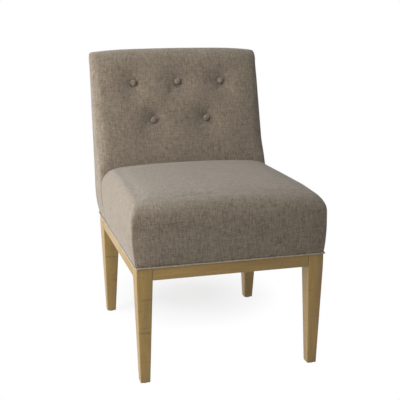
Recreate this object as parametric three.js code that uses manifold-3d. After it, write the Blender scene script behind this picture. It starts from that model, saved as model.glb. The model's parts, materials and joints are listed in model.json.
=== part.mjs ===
// Slipper chair in millimetres, +Z up. It faces -Y, and left is -X, as seen from the front.
// While it is built, y = 0 is the front face of the wooden base and z = 0 is the floor.
// The last lines move the origin to the middle of the chair's outline on the floor.

import * as THREE from 'three';
import Module from 'manifold-3d';
import { mergeVertices } from 'three/addons/utils/BufferGeometryUtils.js';

const wasm = await Module();
wasm.setup();

// Clearance between pieces that touch, how far a cut runs past a face, and a place past the chair
const FIT = 0.3;
const OVERRUN = 5;
const FAR_BEHIND = 1200;

// Wooden base
const BASE_WIDTH = 530;
const BASE_DEPTH = 610;
const BASE_HEIGHT = 332;
const BASE_RAIL_HEIGHT = 34;
const BASE_RAIL_THICKNESS = 22;
const WOOD_EASE = 1.2;
const TENON_LENGTH = 18;
const TENON_THICKNESS = 9;
const TENON_SHOULDER = 5;

// Front legs, outer faces inset at the foot
const FRONT_LEG_WIDTH = 44;
const FRONT_LEG_DEPTH = 51;
const FRONT_FOOT_WIDTH = 27;
const FRONT_FOOT_DEPTH = 29;
const FRONT_FOOT_SIDE_INSET = 8;
const FRONT_FOOT_END_INSET = 8;

// Rear legs
const REAR_LEG_WIDTH = 52;
const REAR_LEG_DEPTH = 73;
const REAR_FOOT_WIDTH = 28;
const REAR_FOOT_DEPTH = 28;
const REAR_FOOT_SIDE_INSET = 10;
const REAR_FOOT_END_INSET = 15;

// Floor glides
const GLIDE_RADIUS = 9;
const GLIDE_HEIGHT = 3;
const GLIDE_EDGE = 1;
const GLIDE_NAIL_RADIUS = 1.2;
const GLIDE_NAIL_LENGTH = 12;

// Corner blocks and the bolts through them
const BLOCK_HEIGHT = 25;
const BLOCK_WIDTH = 32;
const BLOCK_LEG_CLEARANCE = 3;
const SEAT_BLOCK_EDGE = 15;
const BOLT_RADIUS = 4;
const BOLT_HEAD_RADIUS = 7.5;
const BOLT_HEAD_HEIGHT = 5.5;
const BOLT_HEAD_SIDES = 6;
const BOLT_TIP_MARGIN = 5;

// Upholstery outline: the fabric stands proud of the base, and is drawn in towards the welt
const FABRIC_OVERHANG = 5;
const DRAW_IN = 4.4;
const DRAW_IN_HEIGHT = 90;
const SIDE_SWELL = 5;
const COVER_THICKNESS = 1.2;
const BATTING_THICKNESS = 4;
const HEM_WIDTH = 18;
const WELT_RADIUS = 2.2;
const WELT_CORNER_RADIUS = 7;
const WELT_TAPE_WIDTH = 12;
const WELT_TAPE_THICKNESS = 0.9;
const DUST_COVER_THICKNESS = 0.6;

// Seat cushion form, its heights measured from the top of the base
const SEAT_SIDE_RISE = 164;
const SEAT_CROWN = 15;
const SEAT_FRONT_DROP = 14;
const SEAT_DROP_LENGTH = 190;
const SEAT_ROLL_RISE = 123;
const SEAT_SIDE_ROLL = 25;
const SEAT_FRONT_ROLL = 40;
const SEAT_CORNER_RADIUS = 14;
const SEAT_TUCK = 90;

// Seat frame, springs and deck
const FRAME_THICKNESS = 24;
const SEAT_RAIL_HEIGHT = 60;
const FRAME_CORNER_CUT = 8;
const SPRING_COUNT = 4;
const SPRING_WIRE_RADIUS = 1.9;
const SPRING_BARS = 14;
const SPRING_HALF_WIDTH = 25;
const SPRING_ARCH = 14;
const DECK_THICKNESS = 4;

// Back slab: its height above the base, its depth at the base's level, how far its face leans
// by the top, and its depth there
const BACK_HEIGHT = 528;
const BACK_BOTTOM_DEPTH = 149;
const BACK_LEAN = 171;
const BACK_TOP_DEPTH = 62;
const BACK_TOP_CROWN = 9;
const BACK_TOP_ROLL = 30;
const BACK_FRONT_ROLL = 27;
const BACK_SIDE_ROLL = 12;
const BACK_REAR_ROLL = 12;
const BACK_FRONT_CORNER = 22;
const BACK_SEAM_CORNER = 7;
const BACK_REAR_CORNER = 10;
const BACK_TUCK_RISE = 30;
const OUTSIDE_BACK_LIP = 8;

// Back frame
const POST_BOTTOM_DEPTH = 48;
const POST_TOP_DEPTH = 24;
const POST_UPRIGHT_MARGIN = 5;
const POST_TOP_MARGIN = 25;
const BACK_RAIL_HEIGHT = 50;
const STRAP_HEIGHT = 50;
const STRAP_THICKNESS = 1.5;
const STRAP_END_MARGIN = 4;
const LOWER_STRAP_RISE = 100;

// Tufts: buttons in two rows below the top, each in a soft dimple
const UPPER_BUTTON_DROP = 106;
const UPPER_BUTTON_SPACING = 145;
const BUTTON_ROW_GAP = 116;
const LOWER_BUTTON_SPACING = 88;
const TUFT_DEPTH = 11;
const TUFT_RADIUS = 72;
const BUTTON_RADIUS = 11;
const BUTTON_THICKNESS = 8;
const SHANK_RADIUS = 1.6;
const SHANK_LENGTH = 12;
const SHANK_HOLE_RADIUS = 2.3;
const TWINE_RADIUS = 1.5;

// Levels from the base up
const TAPE_TOP = BASE_HEIGHT + FIT + WELT_TAPE_THICKNESS;
const COVER_BOTTOM = TAPE_TOP + FIT;
const FRAME_BOTTOM = COVER_BOTTOM + COVER_THICKNESS + FIT;
const SEAT_RAIL_TOP = FRAME_BOTTOM + SEAT_RAIL_HEIGHT;
const SPRING_LEVEL = SEAT_RAIL_TOP + FIT + SPRING_WIRE_RADIUS;
const DECK_BOTTOM = SPRING_LEVEL + SPRING_WIRE_RADIUS + FIT;
const SEAT_ROLL_START = BASE_HEIGHT + SEAT_ROLL_RISE;
const SEAT_SIDE_HEIGHT = BASE_HEIGHT + SEAT_SIDE_RISE;
const BACK_TUCK_HEIGHT = SEAT_RAIL_TOP + BACK_TUCK_RISE;
const LOWER_STRAP_HEIGHT = BACK_TUCK_HEIGHT + LOWER_STRAP_RISE;
const CHAIR_HEIGHT = BASE_HEIGHT + BACK_HEIGHT;
const BACK_FACE_SETBACK = BASE_DEPTH - BACK_BOTTOM_DEPTH;
const POST_UPRIGHT_HEIGHT = SEAT_RAIL_TOP + POST_UPRIGHT_MARGIN;
const POST_TOP = CHAIR_HEIGHT - POST_TOP_MARGIN;
const UPPER_BUTTON_HEIGHT = CHAIR_HEIGHT - UPPER_BUTTON_DROP;
const LOWER_BUTTON_HEIGHT = UPPER_BUTTON_HEIGHT - BUTTON_ROW_GAP;

// Insets of each layer from the fullest outline of the upholstery
const HALF_WIDTH = BASE_WIDTH / 2 + FABRIC_OVERHANG;
const COVER_INSIDE = COVER_THICKNESS;
const BATTING_OUTSIDE = COVER_INSIDE + FIT;
const BATTING_INSIDE = BATTING_OUTSIDE + BATTING_THICKNESS;
const FOAM_OUTSIDE = BATTING_INSIDE + FIT;
const FRAME_INSET = DRAW_IN + FOAM_OUTSIDE;
const FRAME_HALF_WIDTH = HALF_WIDTH - FRAME_INSET;
const FRAME_INNER_HALF_WIDTH = FRAME_HALF_WIDTH - FRAME_THICKNESS;
const FRAME_FRONT = FRAME_INSET - FABRIC_OVERHANG;
const FRAME_REAR = BASE_DEPTH + FABRIC_OVERHANG - FRAME_INSET;
const POST_FRONT = FRAME_REAR - POST_BOTTOM_DEPTH;

// Mesh steps
const CORNER_STEPS = 2;
const SIDE_STEPS = 4;
const ROLL_STEPS = 3;
const WELT_STEPS = 8;
const ROUND_SIDES = 12;
const TWINE_SIDES = 6;
const WIRE_CURVE_STEPS = 2;
const HOLE_CURVE_STEPS = 6;
const SPRING_STEPS_PER_BAR = 5;
const ARCH_STEPS = 8;
const SEAT_SIDE_SHARES = [0, 0.16, 0.45, 0.8, 1];
const SEAT_TOP_SHARES = [0.74, 0.46, 0.2];
const SEAT_FRONT_SHARES = [-0.6, -0.2, 0.2, 0.6];
const BACK_LOW_SHARES = [0, 0.18, 0.45, 0.8];
const BACK_REAR_SHARES = [-0.5, 0, 0.5];
const BACK_TOP_CORNER_SHARE = 0.4;
const BACK_RIDGE_SHARE = 0.85;
const BACK_RIDGE_LENGTH_SHARE = 0.96;

// A button's dome: shares of its radius, each with a share of its thickness
const BUTTON_DOME_SHARES = [[0.85, 0], [1, 0.3], [0.9, 0.65], [0.55, 0.92], [0, 1]];

const OAK = new THREE.MeshStandardMaterial({ color: 0xa9854f, roughness: 0.45, metalness: 0 });
const FRAME_WOOD = new THREE.MeshStandardMaterial({ color: 0xc9b08a, roughness: 0.8, metalness: 0 });
const FABRIC = new THREE.MeshStandardMaterial({ color: 0x857a6b, roughness: 0.95, metalness: 0 });
const BATTING = new THREE.MeshStandardMaterial({ color: 0xefefec, roughness: 1, metalness: 0 });
const FOAM = new THREE.MeshStandardMaterial({ color: 0xe8dca8, roughness: 0.95, metalness: 0 });
const DECKING = new THREE.MeshStandardMaterial({ color: 0x8a6f4c, roughness: 1, metalness: 0 });
const CAMBRIC = new THREE.MeshStandardMaterial({ color: 0x1d1d1f, roughness: 0.9, metalness: 0 });
const WEBBING = new THREE.MeshStandardMaterial({ color: 0xb8a27c, roughness: 0.9, metalness: 0 });
const TWINE = new THREE.MeshStandardMaterial({ color: 0xd8d0bc, roughness: 0.8, metalness: 0 });
const STEEL = new THREE.MeshStandardMaterial({ color: 0x9a9da0, roughness: 0.35, metalness: 1 });
const PLASTIC = new THREE.MeshStandardMaterial({ color: 0x3a332b, roughness: 0.5, metalness: 0 });

const chair = new THREE.Group();
const base = new THREE.Group();
const seat = new THREE.Group();
const back = new THREE.Group();
chair.add(base, seat, back);

function addPiece(group, name, geometry, material) {
  const mesh = new THREE.Mesh(geometry, material);
  mesh.name = name;
  group.add(mesh);
  return mesh;
}

// Solids: between three.js geometry and closed solids that can be cut and joined

function toSolid(geometry) {
  const bare = geometry.clone();
  bare.deleteAttribute('normal');
  bare.deleteAttribute('uv');
  const merged = mergeVertices(bare);
  const mesh = new wasm.Mesh({
    numProp: 3,
    vertProperties: new Float32Array(merged.attributes.position.array),
    triVerts: new Uint32Array(merged.index.array),
  });
  return new wasm.Manifold(mesh);
}

function toGeometry(solid) {
  const mesh = solid.getMesh();
  const geometry = new THREE.BufferGeometry();
  geometry.setAttribute('position', new THREE.BufferAttribute(mesh.vertProperties, 3));
  geometry.setIndex(new THREE.BufferAttribute(mesh.triVerts, 1));
  geometry.computeVertexNormals();
  return geometry;
}

function block(x, y, z) {
  const geometry = new THREE.BoxGeometry(x[1] - x[0], y[1] - y[0], z[1] - z[0]);
  geometry.translate((x[0] + x[1]) / 2, (y[0] + y[1]) / 2, (z[0] + z[1]) / 2);
  return geometry;
}

// Orders two places so that the smaller comes first
function span(a, b) {
  return [Math.min(a, b), Math.max(a, b)];
}

// A vertical cylinder from one height to another
function upright(radius, x, y, bottom, top) {
  const geometry = new THREE.CylinderGeometry(radius, radius, top - bottom, ROUND_SIDES);
  geometry.rotateX(Math.PI / 2);
  geometry.translate(x, y, (bottom + top) / 2);
  return geometry;
}

// A profile of [y, z] points extruded along X
function alongX(profile, x) {
  const shape = new THREE.Shape(profile.map(([y, z]) => new THREE.Vector2(y, z)));
  const geometry = new THREE.ExtrudeGeometry(shape, { depth: x[1] - x[0], bevelEnabled: false });
  const turn = new THREE.Matrix4().makeBasis(
    new THREE.Vector3(0, 1, 0),
    new THREE.Vector3(0, 0, 1),
    new THREE.Vector3(1, 0, 0),
  );
  geometry.applyMatrix4(turn);
  geometry.translate(x[0], 0, 0);
  return geometry;
}

// A plan outline of [x, y] points extruded upwards, with holes where they are given
function upFrom(outline, z, holes = []) {
  const shape = new THREE.Shape(outline.map(([x, y]) => new THREE.Vector2(x, y)));
  for (const hole of holes) {
    const path = new THREE.Path();
    path.absarc(hole.x, hole.y, hole.radius, 0, 2 * Math.PI);
    shape.holes.push(path);
  }
  const options = { depth: z[1] - z[0], bevelEnabled: false, curveSegments: HOLE_CURVE_STEPS };
  const geometry = new THREE.ExtrudeGeometry(shape, options);
  geometry.translate(0, 0, z[0]);
  return geometry;
}

// A solid through rings of points that have equal counts. Each ring runs anticlockwise seen
// from the side of the last one. The ends are fans to the middle of the end rings.
function loft(rings, lastPoint) {
  const count = rings[0].length;
  const points = rings.flat();
  const faces = [];
  for (let ring = 0; ring < rings.length - 1; ring += 1) {
    for (let i = 0; i < count; i += 1) {
      const a = ring * count + i;
      const b = ring * count + ((i + 1) % count);
      faces.push(a, b, b + count, a, b + count, a + count);
    }
  }
  const first = points.push(middle(rings[0])) - 1;
  const last = points.push(lastPoint ?? middle(rings.at(-1))) - 1;
  const lastRing = (rings.length - 1) * count;
  for (let i = 0; i < count; i += 1) {
    const next = (i + 1) % count;
    faces.push(first, next, i, last, lastRing + i, lastRing + next);
  }
  return meshOf(points, faces);
}

// The same, but the last ring joins the first, as in a cord that closes on itself
function closedLoft(rings) {
  const count = rings[0].length;
  const faces = [];
  for (let ring = 0; ring < rings.length; ring += 1) {
    const from = ring * count;
    const to = ((ring + 1) % rings.length) * count;
    for (let i = 0; i < count; i += 1) {
      const next = (i + 1) % count;
      faces.push(from + i, from + next, to + next, from + i, to + next, to + i);
    }
  }
  return meshOf(rings.flat(), faces);
}

function middle(ring) {
  const sum = ring.reduce((total, point) => total.add(point), new THREE.Vector3());
  return sum.divideScalar(ring.length);
}

function meshOf(points, faces) {
  const geometry = new THREE.BufferGeometry();
  geometry.setFromPoints(points);
  geometry.setIndex(faces);
  geometry.computeVertexNormals();
  return geometry;
}

// Wooden base

// A rectangle with eased corners at one height, anticlockwise seen from above
function easedRing(x, y, z) {
  const e = WOOD_EASE;
  return [
    new THREE.Vector3(x[0] + e, y[0], z),
    new THREE.Vector3(x[1] - e, y[0], z),
    new THREE.Vector3(x[1], y[0] + e, z),
    new THREE.Vector3(x[1], y[1] - e, z),
    new THREE.Vector3(x[1] - e, y[1], z),
    new THREE.Vector3(x[0] + e, y[1], z),
    new THREE.Vector3(x[0], y[1] - e, z),
    new THREE.Vector3(x[0], y[0] + e, z),
  ];
}

// An eased bar along X or along Y
function easedBar(axis, x, y, z) {
  const across = axis === 'x' ? y : x;
  const along = axis === 'x' ? x : y;
  const geometry = loft([easedRing(across, z, along[0]), easedRing(across, z, along[1])]);
  const turn = axis === 'x'
    ? [new THREE.Vector3(0, 1, 0), new THREE.Vector3(0, 0, 1), new THREE.Vector3(1, 0, 0)]
    : [new THREE.Vector3(-1, 0, 0), new THREE.Vector3(0, 0, 1), new THREE.Vector3(0, 1, 0)];
  geometry.applyMatrix4(new THREE.Matrix4().makeBasis(...turn));
  if (axis === 'y') {
    geometry.translate(x[0] + x[1], 0, 0);
  }
  return geometry;
}

const CORNERS = [
  { name: 'front_left', side: -1, end: 'front' },
  { name: 'front_right', side: 1, end: 'front' },
  { name: 'rear_left', side: -1, end: 'rear' },
  { name: 'rear_right', side: 1, end: 'rear' },
];

function legSizes(end) {
  if (end === 'front') {
    return {
      width: FRONT_LEG_WIDTH,
      depth: FRONT_LEG_DEPTH,
      footWidth: FRONT_FOOT_WIDTH,
      footDepth: FRONT_FOOT_DEPTH,
      sideInset: FRONT_FOOT_SIDE_INSET,
      endInset: FRONT_FOOT_END_INSET,
    };
  }
  return {
    width: REAR_LEG_WIDTH,
    depth: REAR_LEG_DEPTH,
    footWidth: REAR_FOOT_WIDTH,
    footDepth: REAR_FOOT_DEPTH,
    sideInset: REAR_FOOT_SIDE_INSET,
    endInset: REAR_FOOT_END_INSET,
  };
}

// Places measured inwards from a corner's outer side and outer end, turned into x and y
function atCorner(corner, fromSide, fromEnd) {
  const x = corner.side * (BASE_WIDTH / 2 - fromSide);
  const y = corner.end === 'front' ? fromEnd : BASE_DEPTH - fromEnd;
  return [x, y];
}

// The x and y spans of a rectangle measured inwards from a corner
function cornerSpans(corner, sides, ends) {
  const near = atCorner(corner, sides[0], ends[0]);
  const far = atCorner(corner, sides[1], ends[1]);
  return [span(near[0], far[0]), span(near[1], far[1])];
}

function footMiddle(corner) {
  const leg = legSizes(corner.end);
  return atCorner(corner, leg.sideInset + leg.footWidth / 2, leg.endInset + leg.footDepth / 2);
}

function legGeometry(corner) {
  const leg = legSizes(corner.end);
  const shoulder = BASE_HEIGHT - BASE_RAIL_HEIGHT;
  const [topX, topY] = cornerSpans(corner, [0, leg.width], [0, leg.depth]);
  const [footX, footY] = cornerSpans(
    corner,
    [leg.sideInset, leg.sideInset + leg.footWidth],
    [leg.endInset, leg.endInset + leg.footDepth],
  );
  let solid = toSolid(loft([
    easedRing(footX, footY, GLIDE_HEIGHT + FIT),
    easedRing(topX, topY, shoulder),
    easedRing(topX, topY, BASE_HEIGHT),
  ]));
  const mortiseStart = BASE_RAIL_THICKNESS / 2 - TENON_THICKNESS / 2 - FIT;
  const mortiseEnd = BASE_RAIL_THICKNESS / 2 + TENON_THICKNESS / 2 + FIT;
  const mortiseZ = [shoulder + TENON_SHOULDER - FIT, BASE_HEIGHT - TENON_SHOULDER + FIT];
  const endRail = cornerSpans(
    corner,
    [leg.width - TENON_LENGTH - FIT, leg.width + OVERRUN],
    [mortiseStart, mortiseEnd],
  );
  const sideRail = cornerSpans(
    corner,
    [mortiseStart, mortiseEnd],
    [leg.depth - TENON_LENGTH - FIT, leg.depth + OVERRUN],
  );
  solid = solid.subtract(toSolid(block(...endRail, mortiseZ)));
  solid = solid.subtract(toSolid(block(...sideRail, mortiseZ)));
  const [x, y] = footMiddle(corner);
  const nailHole = upright(GLIDE_NAIL_RADIUS + FIT, x, y, 0, GLIDE_HEIGHT + GLIDE_NAIL_LENGTH + FIT);
  return toGeometry(solid.subtract(toSolid(nailHole)));
}

// A base rail between two legs, with a tenon on each end
function baseRailGeometry(axis, along, across) {
  const z = [BASE_HEIGHT - BASE_RAIL_HEIGHT, BASE_HEIGHT];
  const shortened = [along[0] + FIT, along[1] - FIT];
  const center = (across[0] + across[1]) / 2;
  const tenonAcross = [center - TENON_THICKNESS / 2, center + TENON_THICKNESS / 2];
  const tenonAlong = [along[0] - TENON_LENGTH, along[1] + TENON_LENGTH];
  const tenonZ = [z[0] + TENON_SHOULDER, z[1] - TENON_SHOULDER];
  const bar = axis === 'x'
    ? easedBar('x', shortened, across, z)
    : easedBar('y', across, shortened, z);
  const tenon = axis === 'x'
    ? block(tenonAlong, tenonAcross, tenonZ)
    : block(tenonAcross, tenonAlong, tenonZ);
  return toGeometry(toSolid(bar).add(toSolid(tenon)));
}

function glideGeometry() {
  const top = GLIDE_HEIGHT + GLIDE_NAIL_LENGTH;
  const profile = [
    [0, 0],
    [GLIDE_RADIUS - GLIDE_EDGE, 0],
    [GLIDE_RADIUS, GLIDE_EDGE],
    [GLIDE_RADIUS, GLIDE_HEIGHT],
    [GLIDE_NAIL_RADIUS, GLIDE_HEIGHT],
    [GLIDE_NAIL_RADIUS, top],
    [0, top],
  ];
  const points = profile.map(([radius, height]) => new THREE.Vector2(radius, height));
  const geometry = new THREE.LatheGeometry(points, ROUND_SIDES);
  geometry.rotateX(Math.PI / 2);
  return geometry;
}

// How far along each rail a base block starts, measured from the rails' inner corner
function blockReach(corner) {
  const leg = legSizes(corner.end);
  const toLegCorner = leg.width + leg.depth - 2 * BASE_RAIL_THICKNESS;
  return toLegCorner + BLOCK_LEG_CLEARANCE * Math.SQRT2;
}

function boltPlace(corner) {
  const halfway = blockReach(corner) + (BLOCK_WIDTH * Math.SQRT2) / 2;
  const inward = BASE_RAIL_THICKNESS + halfway / 2;
  return atCorner(corner, inward, inward);
}

function baseBlockGeometry(corner) {
  const wall = BASE_RAIL_THICKNESS + FIT;
  const near = BASE_RAIL_THICKNESS + blockReach(corner);
  const far = near + BLOCK_WIDTH * Math.SQRT2;
  const outline = [
    atCorner(corner, near, wall),
    atCorner(corner, far, wall),
    atCorner(corner, wall, far),
    atCorner(corner, wall, near),
  ];
  const [x, y] = boltPlace(corner);
  const hole = { x, y, radius: BOLT_RADIUS + FIT };
  return upFrom(outline, [BASE_HEIGHT - FIT - BLOCK_HEIGHT, BASE_HEIGHT - FIT], [hole]);
}

function boltGeometry(corner) {
  const [x, y] = boltPlace(corner);
  const blockBottom = BASE_HEIGHT - FIT - BLOCK_HEIGHT;
  const size = BOLT_HEAD_RADIUS;
  const head = new THREE.CylinderGeometry(size, size, BOLT_HEAD_HEIGHT, BOLT_HEAD_SIDES);
  head.rotateX(Math.PI / 2);
  head.translate(x, y, blockBottom - FIT - BOLT_HEAD_HEIGHT / 2);
  const tip = FRAME_BOTTOM + BLOCK_HEIGHT - BOLT_TIP_MARGIN;
  const shank = upright(BOLT_RADIUS, x, y, blockBottom - FIT - BOLT_HEAD_HEIGHT / 2, tip);
  return toGeometry(toSolid(head).add(toSolid(shank)));
}

function buildBase() {
  for (const corner of CORNERS) {
    addPiece(base, `${corner.name}_leg`, legGeometry(corner), OAK);
    const glide = addPiece(base, `${corner.name}_glide`, glideGeometry(), PLASTIC);
    const [x, y] = footMiddle(corner);
    glide.position.set(x, y, 0);
    addPiece(base, `${corner.name}_base_block`, baseBlockGeometry(corner), FRAME_WOOD);
    addPiece(base, `${corner.name}_base_bolt`, boltGeometry(corner), STEEL);
  }
  const half = BASE_WIDTH / 2;
  const t = BASE_RAIL_THICKNESS;
  const frontSpan = [FRONT_LEG_WIDTH - half, half - FRONT_LEG_WIDTH];
  const rearSpan = [REAR_LEG_WIDTH - half, half - REAR_LEG_WIDTH];
  const sideSpan = [FRONT_LEG_DEPTH, BASE_DEPTH - REAR_LEG_DEPTH];
  addPiece(base, 'front_base_rail', baseRailGeometry('x', frontSpan, [0, t]), OAK);
  addPiece(base, 'rear_base_rail', baseRailGeometry('x', rearSpan, [BASE_DEPTH - t, BASE_DEPTH]), OAK);
  addPiece(base, 'left_base_rail', baseRailGeometry('y', sideSpan, [-half, t - half]), OAK);
  addPiece(base, 'right_base_rail', baseRailGeometry('y', sideSpan, [half - t, half]), OAK);
}

// Upholstery outlines

// Where the back's face and its rear stand at a height, straight lines that lean back
function backFace(z) {
  const share = (z - BASE_HEIGHT) / BACK_HEIGHT;
  return BACK_FACE_SETBACK + BACK_LEAN * share;
}

function backRear(z) {
  const share = (z - BASE_HEIGHT) / BACK_HEIGHT;
  const low = BASE_DEPTH + FABRIC_OVERHANG;
  const high = BACK_FACE_SETBACK + BACK_LEAN + BACK_TOP_DEPTH;
  return THREE.MathUtils.lerp(low, high, share);
}

// How far the fabric is drawn in at a height above the welt
function drawIn(z) {
  const share = THREE.MathUtils.clamp((z - COVER_BOTTOM) / DRAW_IN_HEIGHT, 0, 1);
  return DRAW_IN * (1 - share) ** 2;
}

// How far the padding swells past that outline at the sides: nothing at the welt
function swell(z) {
  const share = THREE.MathUtils.clamp((z - COVER_BOTTOM) / DRAW_IN_HEIGHT, 0, 1);
  return SIDE_SWELL * (1 - (1 - share) ** 2);
}

// A round-cornered outline of [x, y] points, anticlockwise from the front left corner.
// plan.frontStops and plan.rearStops are the x places between the corners, left to right.
function planOutline(plan) {
  const { halfWidth, front, rear, frontRadius, rearRadius } = plan;
  const rearHalfWidth = plan.rearHalfWidth ?? halfWidth;
  const quarter = Math.PI / 2;
  const corners = [
    { x: frontRadius - halfWidth, y: front + frontRadius, radius: frontRadius, start: 2 * quarter },
    { x: halfWidth - frontRadius, y: front + frontRadius, radius: frontRadius, start: 3 * quarter },
    { x: rearHalfWidth - rearRadius, y: rear - rearRadius, radius: rearRadius, start: 0 },
    { x: rearRadius - rearHalfWidth, y: rear - rearRadius, radius: rearRadius, start: quarter },
  ];
  const arcs = corners.map((corner) => {
    const points = [];
    for (let step = 0; step <= CORNER_STEPS; step += 1) {
      const angle = corner.start + (quarter * step) / CORNER_STEPS;
      points.push([
        corner.x + corner.radius * Math.cos(angle),
        corner.y + corner.radius * Math.sin(angle),
      ]);
    }
    return points;
  });
  const side = [];
  for (let step = 1; step < SIDE_STEPS; step += 1) {
    const share = step / SIDE_STEPS;
    side.push([
      THREE.MathUtils.lerp(halfWidth, rearHalfWidth, share),
      THREE.MathUtils.lerp(arcs[1].at(-1)[1], arcs[2][0][1], share),
    ]);
  }
  return [
    ...arcs[0],
    ...plan.frontStops.map((x) => [x, front]),
    ...arcs[1],
    ...side,
    ...arcs[2],
    ...plan.rearStops.toReversed().map((x) => [x, rear]),
    ...arcs[3],
    ...side.toReversed().map(([x, y]) => [-x, y]),
  ];
}

// Seat cushion

function seatTop(x, y, inset) {
  const across = THREE.MathUtils.clamp(x / HALF_WIDTH, -1, 1);
  const share = THREE.MathUtils.clamp((y + FABRIC_OVERHANG) / SEAT_DROP_LENGTH, 0, 1);
  const crown = SEAT_CROWN * (1 - across ** 2);
  return SEAT_SIDE_HEIGHT + crown - SEAT_FRONT_DROP * (1 - share) ** 2 - inset;
}

// The seat's closed form: sides drawn in at the welt, rolled edges and a crowned top
function seatForm(inset, bottom) {
  const rear = backFace(CHAIR_HEIGHT) - SEAT_TUCK;
  const outlineAt = (z, sideInset, frontInset, radius) => {
    const halfWidth = HALF_WIDTH + swell(z) - sideInset;
    const straight = halfWidth - radius;
    const stops = SEAT_FRONT_SHARES.map((share) => share * straight);
    return planOutline({
      halfWidth,
      front: frontInset - FABRIC_OVERHANG,
      rear: rear - sideInset,
      frontRadius: radius,
      rearRadius: radius,
      frontStops: stops,
      rearStops: stops,
    });
  };
  const rings = [];
  for (const share of SEAT_SIDE_SHARES) {
    const z = THREE.MathUtils.lerp(bottom, SEAT_ROLL_START, share);
    const total = inset + drawIn(z);
    const outline = outlineAt(z, total, total, SEAT_CORNER_RADIUS - inset);
    rings.push(outline.map(([x, y]) => new THREE.Vector3(x, y, z)));
  }
  let rolled = [];
  for (let step = 1; step <= ROLL_STEPS; step += 1) {
    const angle = (Math.PI / 2) * (step / ROLL_STEPS);
    const side = inset + (SEAT_SIDE_ROLL - inset) * (1 - Math.cos(angle));
    const front = inset + (SEAT_FRONT_ROLL - inset) * (1 - Math.cos(angle));
    rolled = outlineAt(SEAT_ROLL_START, side, front, SEAT_CORNER_RADIUS - inset + side);
    rings.push(rolled.map(([x, y]) => {
      const rise = seatTop(x, y, inset) - SEAT_ROLL_START;
      return new THREE.Vector3(x, y, SEAT_ROLL_START + rise * Math.sin(angle));
    }));
  }
  const middleY = (rear - FABRIC_OVERHANG) / 2;
  for (const share of SEAT_TOP_SHARES) {
    rings.push(rolled.map(([x, y]) => {
      const inner = [x * share, middleY + (y - middleY) * share];
      return new THREE.Vector3(...inner, seatTop(...inner, inset));
    }));
  }
  return toSolid(loft(rings, new THREE.Vector3(0, middleY, seatTop(0, middleY, inset))));
}

// All that lies behind the back's face, moved forward by an offset
function behindFace(offset) {
  const low = FRAME_BOTTOM - BLOCK_HEIGHT;
  const profile = [
    [backFace(low) - offset, low],
    [backFace(CHAIR_HEIGHT) - offset, CHAIR_HEIGHT],
    [FAR_BEHIND, CHAIR_HEIGHT],
    [FAR_BEHIND, low],
  ];
  return toSolid(alongX(profile, [-BASE_WIDTH, BASE_WIDTH]));
}

// The way through the tuck between seat and back, where rails and springs pass
function tuckOpening(y, half) {
  return toSolid(block([-half, half], y, [FRAME_BOTTOM - FIT, BACK_TUCK_HEIGHT]));
}

// The opening inside the hem that is turned in under the frame
function hemOpening(y) {
  const half = HALF_WIDTH - DRAW_IN - HEM_WIDTH;
  return toSolid(block([-half, half], y, [BASE_HEIGHT, FRAME_BOTTOM]));
}

const SEAT_HEM_Y = [DRAW_IN + HEM_WIDTH - FABRIC_OVERHANG, BACK_FACE_SETBACK + HEM_WIDTH];
const BACK_HEM_Y = [BACK_FACE_SETBACK - HEM_WIDTH, BASE_DEPTH + FABRIC_OVERHANG - DRAW_IN - HEM_WIDTH];
const SEAT_TUCK_Y = [BACK_FACE_SETBACK - HEM_WIDTH, BASE_DEPTH];
const BACK_TUCK_Y = [BACK_FACE_SETBACK - HEM_WIDTH, POST_FRONT];
const TUCK_HALF_WIDTH = HALF_WIDTH - DRAW_IN - COVER_THICKNESS - OVERRUN / 2;

function seatCoverGeometry() {
  const padding = seatForm(COVER_INSIDE, COVER_BOTTOM + COVER_THICKNESS)
    .subtract(behindFace(FIT + COVER_INSIDE));
  return toGeometry(seatForm(0, COVER_BOTTOM)
    .subtract(padding)
    .subtract(hemOpening(SEAT_HEM_Y))
    .subtract(tuckOpening(SEAT_TUCK_Y, TUCK_HALF_WIDTH))
    .subtract(behindFace(FIT)));
}

function seatBattingGeometry() {
  const inside = seatForm(BATTING_INSIDE, BASE_HEIGHT).subtract(behindFace(FIT + BATTING_INSIDE));
  return toGeometry(seatForm(BATTING_OUTSIDE, FRAME_BOTTOM)
    .subtract(inside)
    .subtract(tuckOpening(SEAT_TUCK_Y, BASE_WIDTH))
    .subtract(behindFace(FIT + BATTING_OUTSIDE)));
}

// The front rail runs the full width, and its outer corners are cut off for the round padding
function frontRailGeometry() {
  const cut = FRAME_CORNER_CUT;
  const half = FRAME_HALF_WIDTH;
  const rear = FRAME_FRONT + FRAME_THICKNESS;
  const outline = [
    [cut - half, FRAME_FRONT],
    [half - cut, FRAME_FRONT],
    [half, FRAME_FRONT + cut],
    [half, rear],
    [-half, rear],
    [-half, FRAME_FRONT + cut],
  ];
  return upFrom(outline, [FRAME_BOTTOM, SEAT_RAIL_TOP]);
}

// How high the springs arch at a place between the front and rear rails
function archAt(y) {
  const front = FRAME_FRONT + FRAME_THICKNESS;
  const rear = FRAME_REAR - FRAME_THICKNESS;
  const share = THREE.MathUtils.clamp((y - front) / (rear - front), 0, 1);
  return SPRING_ARCH * Math.sin(Math.PI * share);
}

// A sheet of some thickness that follows the springs' arch
function archedSheet(bottom, top, y, halfWidth) {
  const under = [];
  const over = [];
  for (let step = 0; step <= ARCH_STEPS; step += 1) {
    const place = THREE.MathUtils.lerp(y[0], y[1], step / ARCH_STEPS);
    under.push([place, bottom + archAt(place)]);
    over.push([place, top + archAt(place)]);
  }
  return alongX([...under, ...over.toReversed()], [-halfWidth, halfWidth]);
}

const DECK_Y = [FRAME_FRONT + FRAME_THICKNESS / 2, FRAME_REAR - FRAME_THICKNESS / 2];
const DECK_HALF_WIDTH = FRAME_INNER_HALF_WIDTH - FIT;

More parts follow.
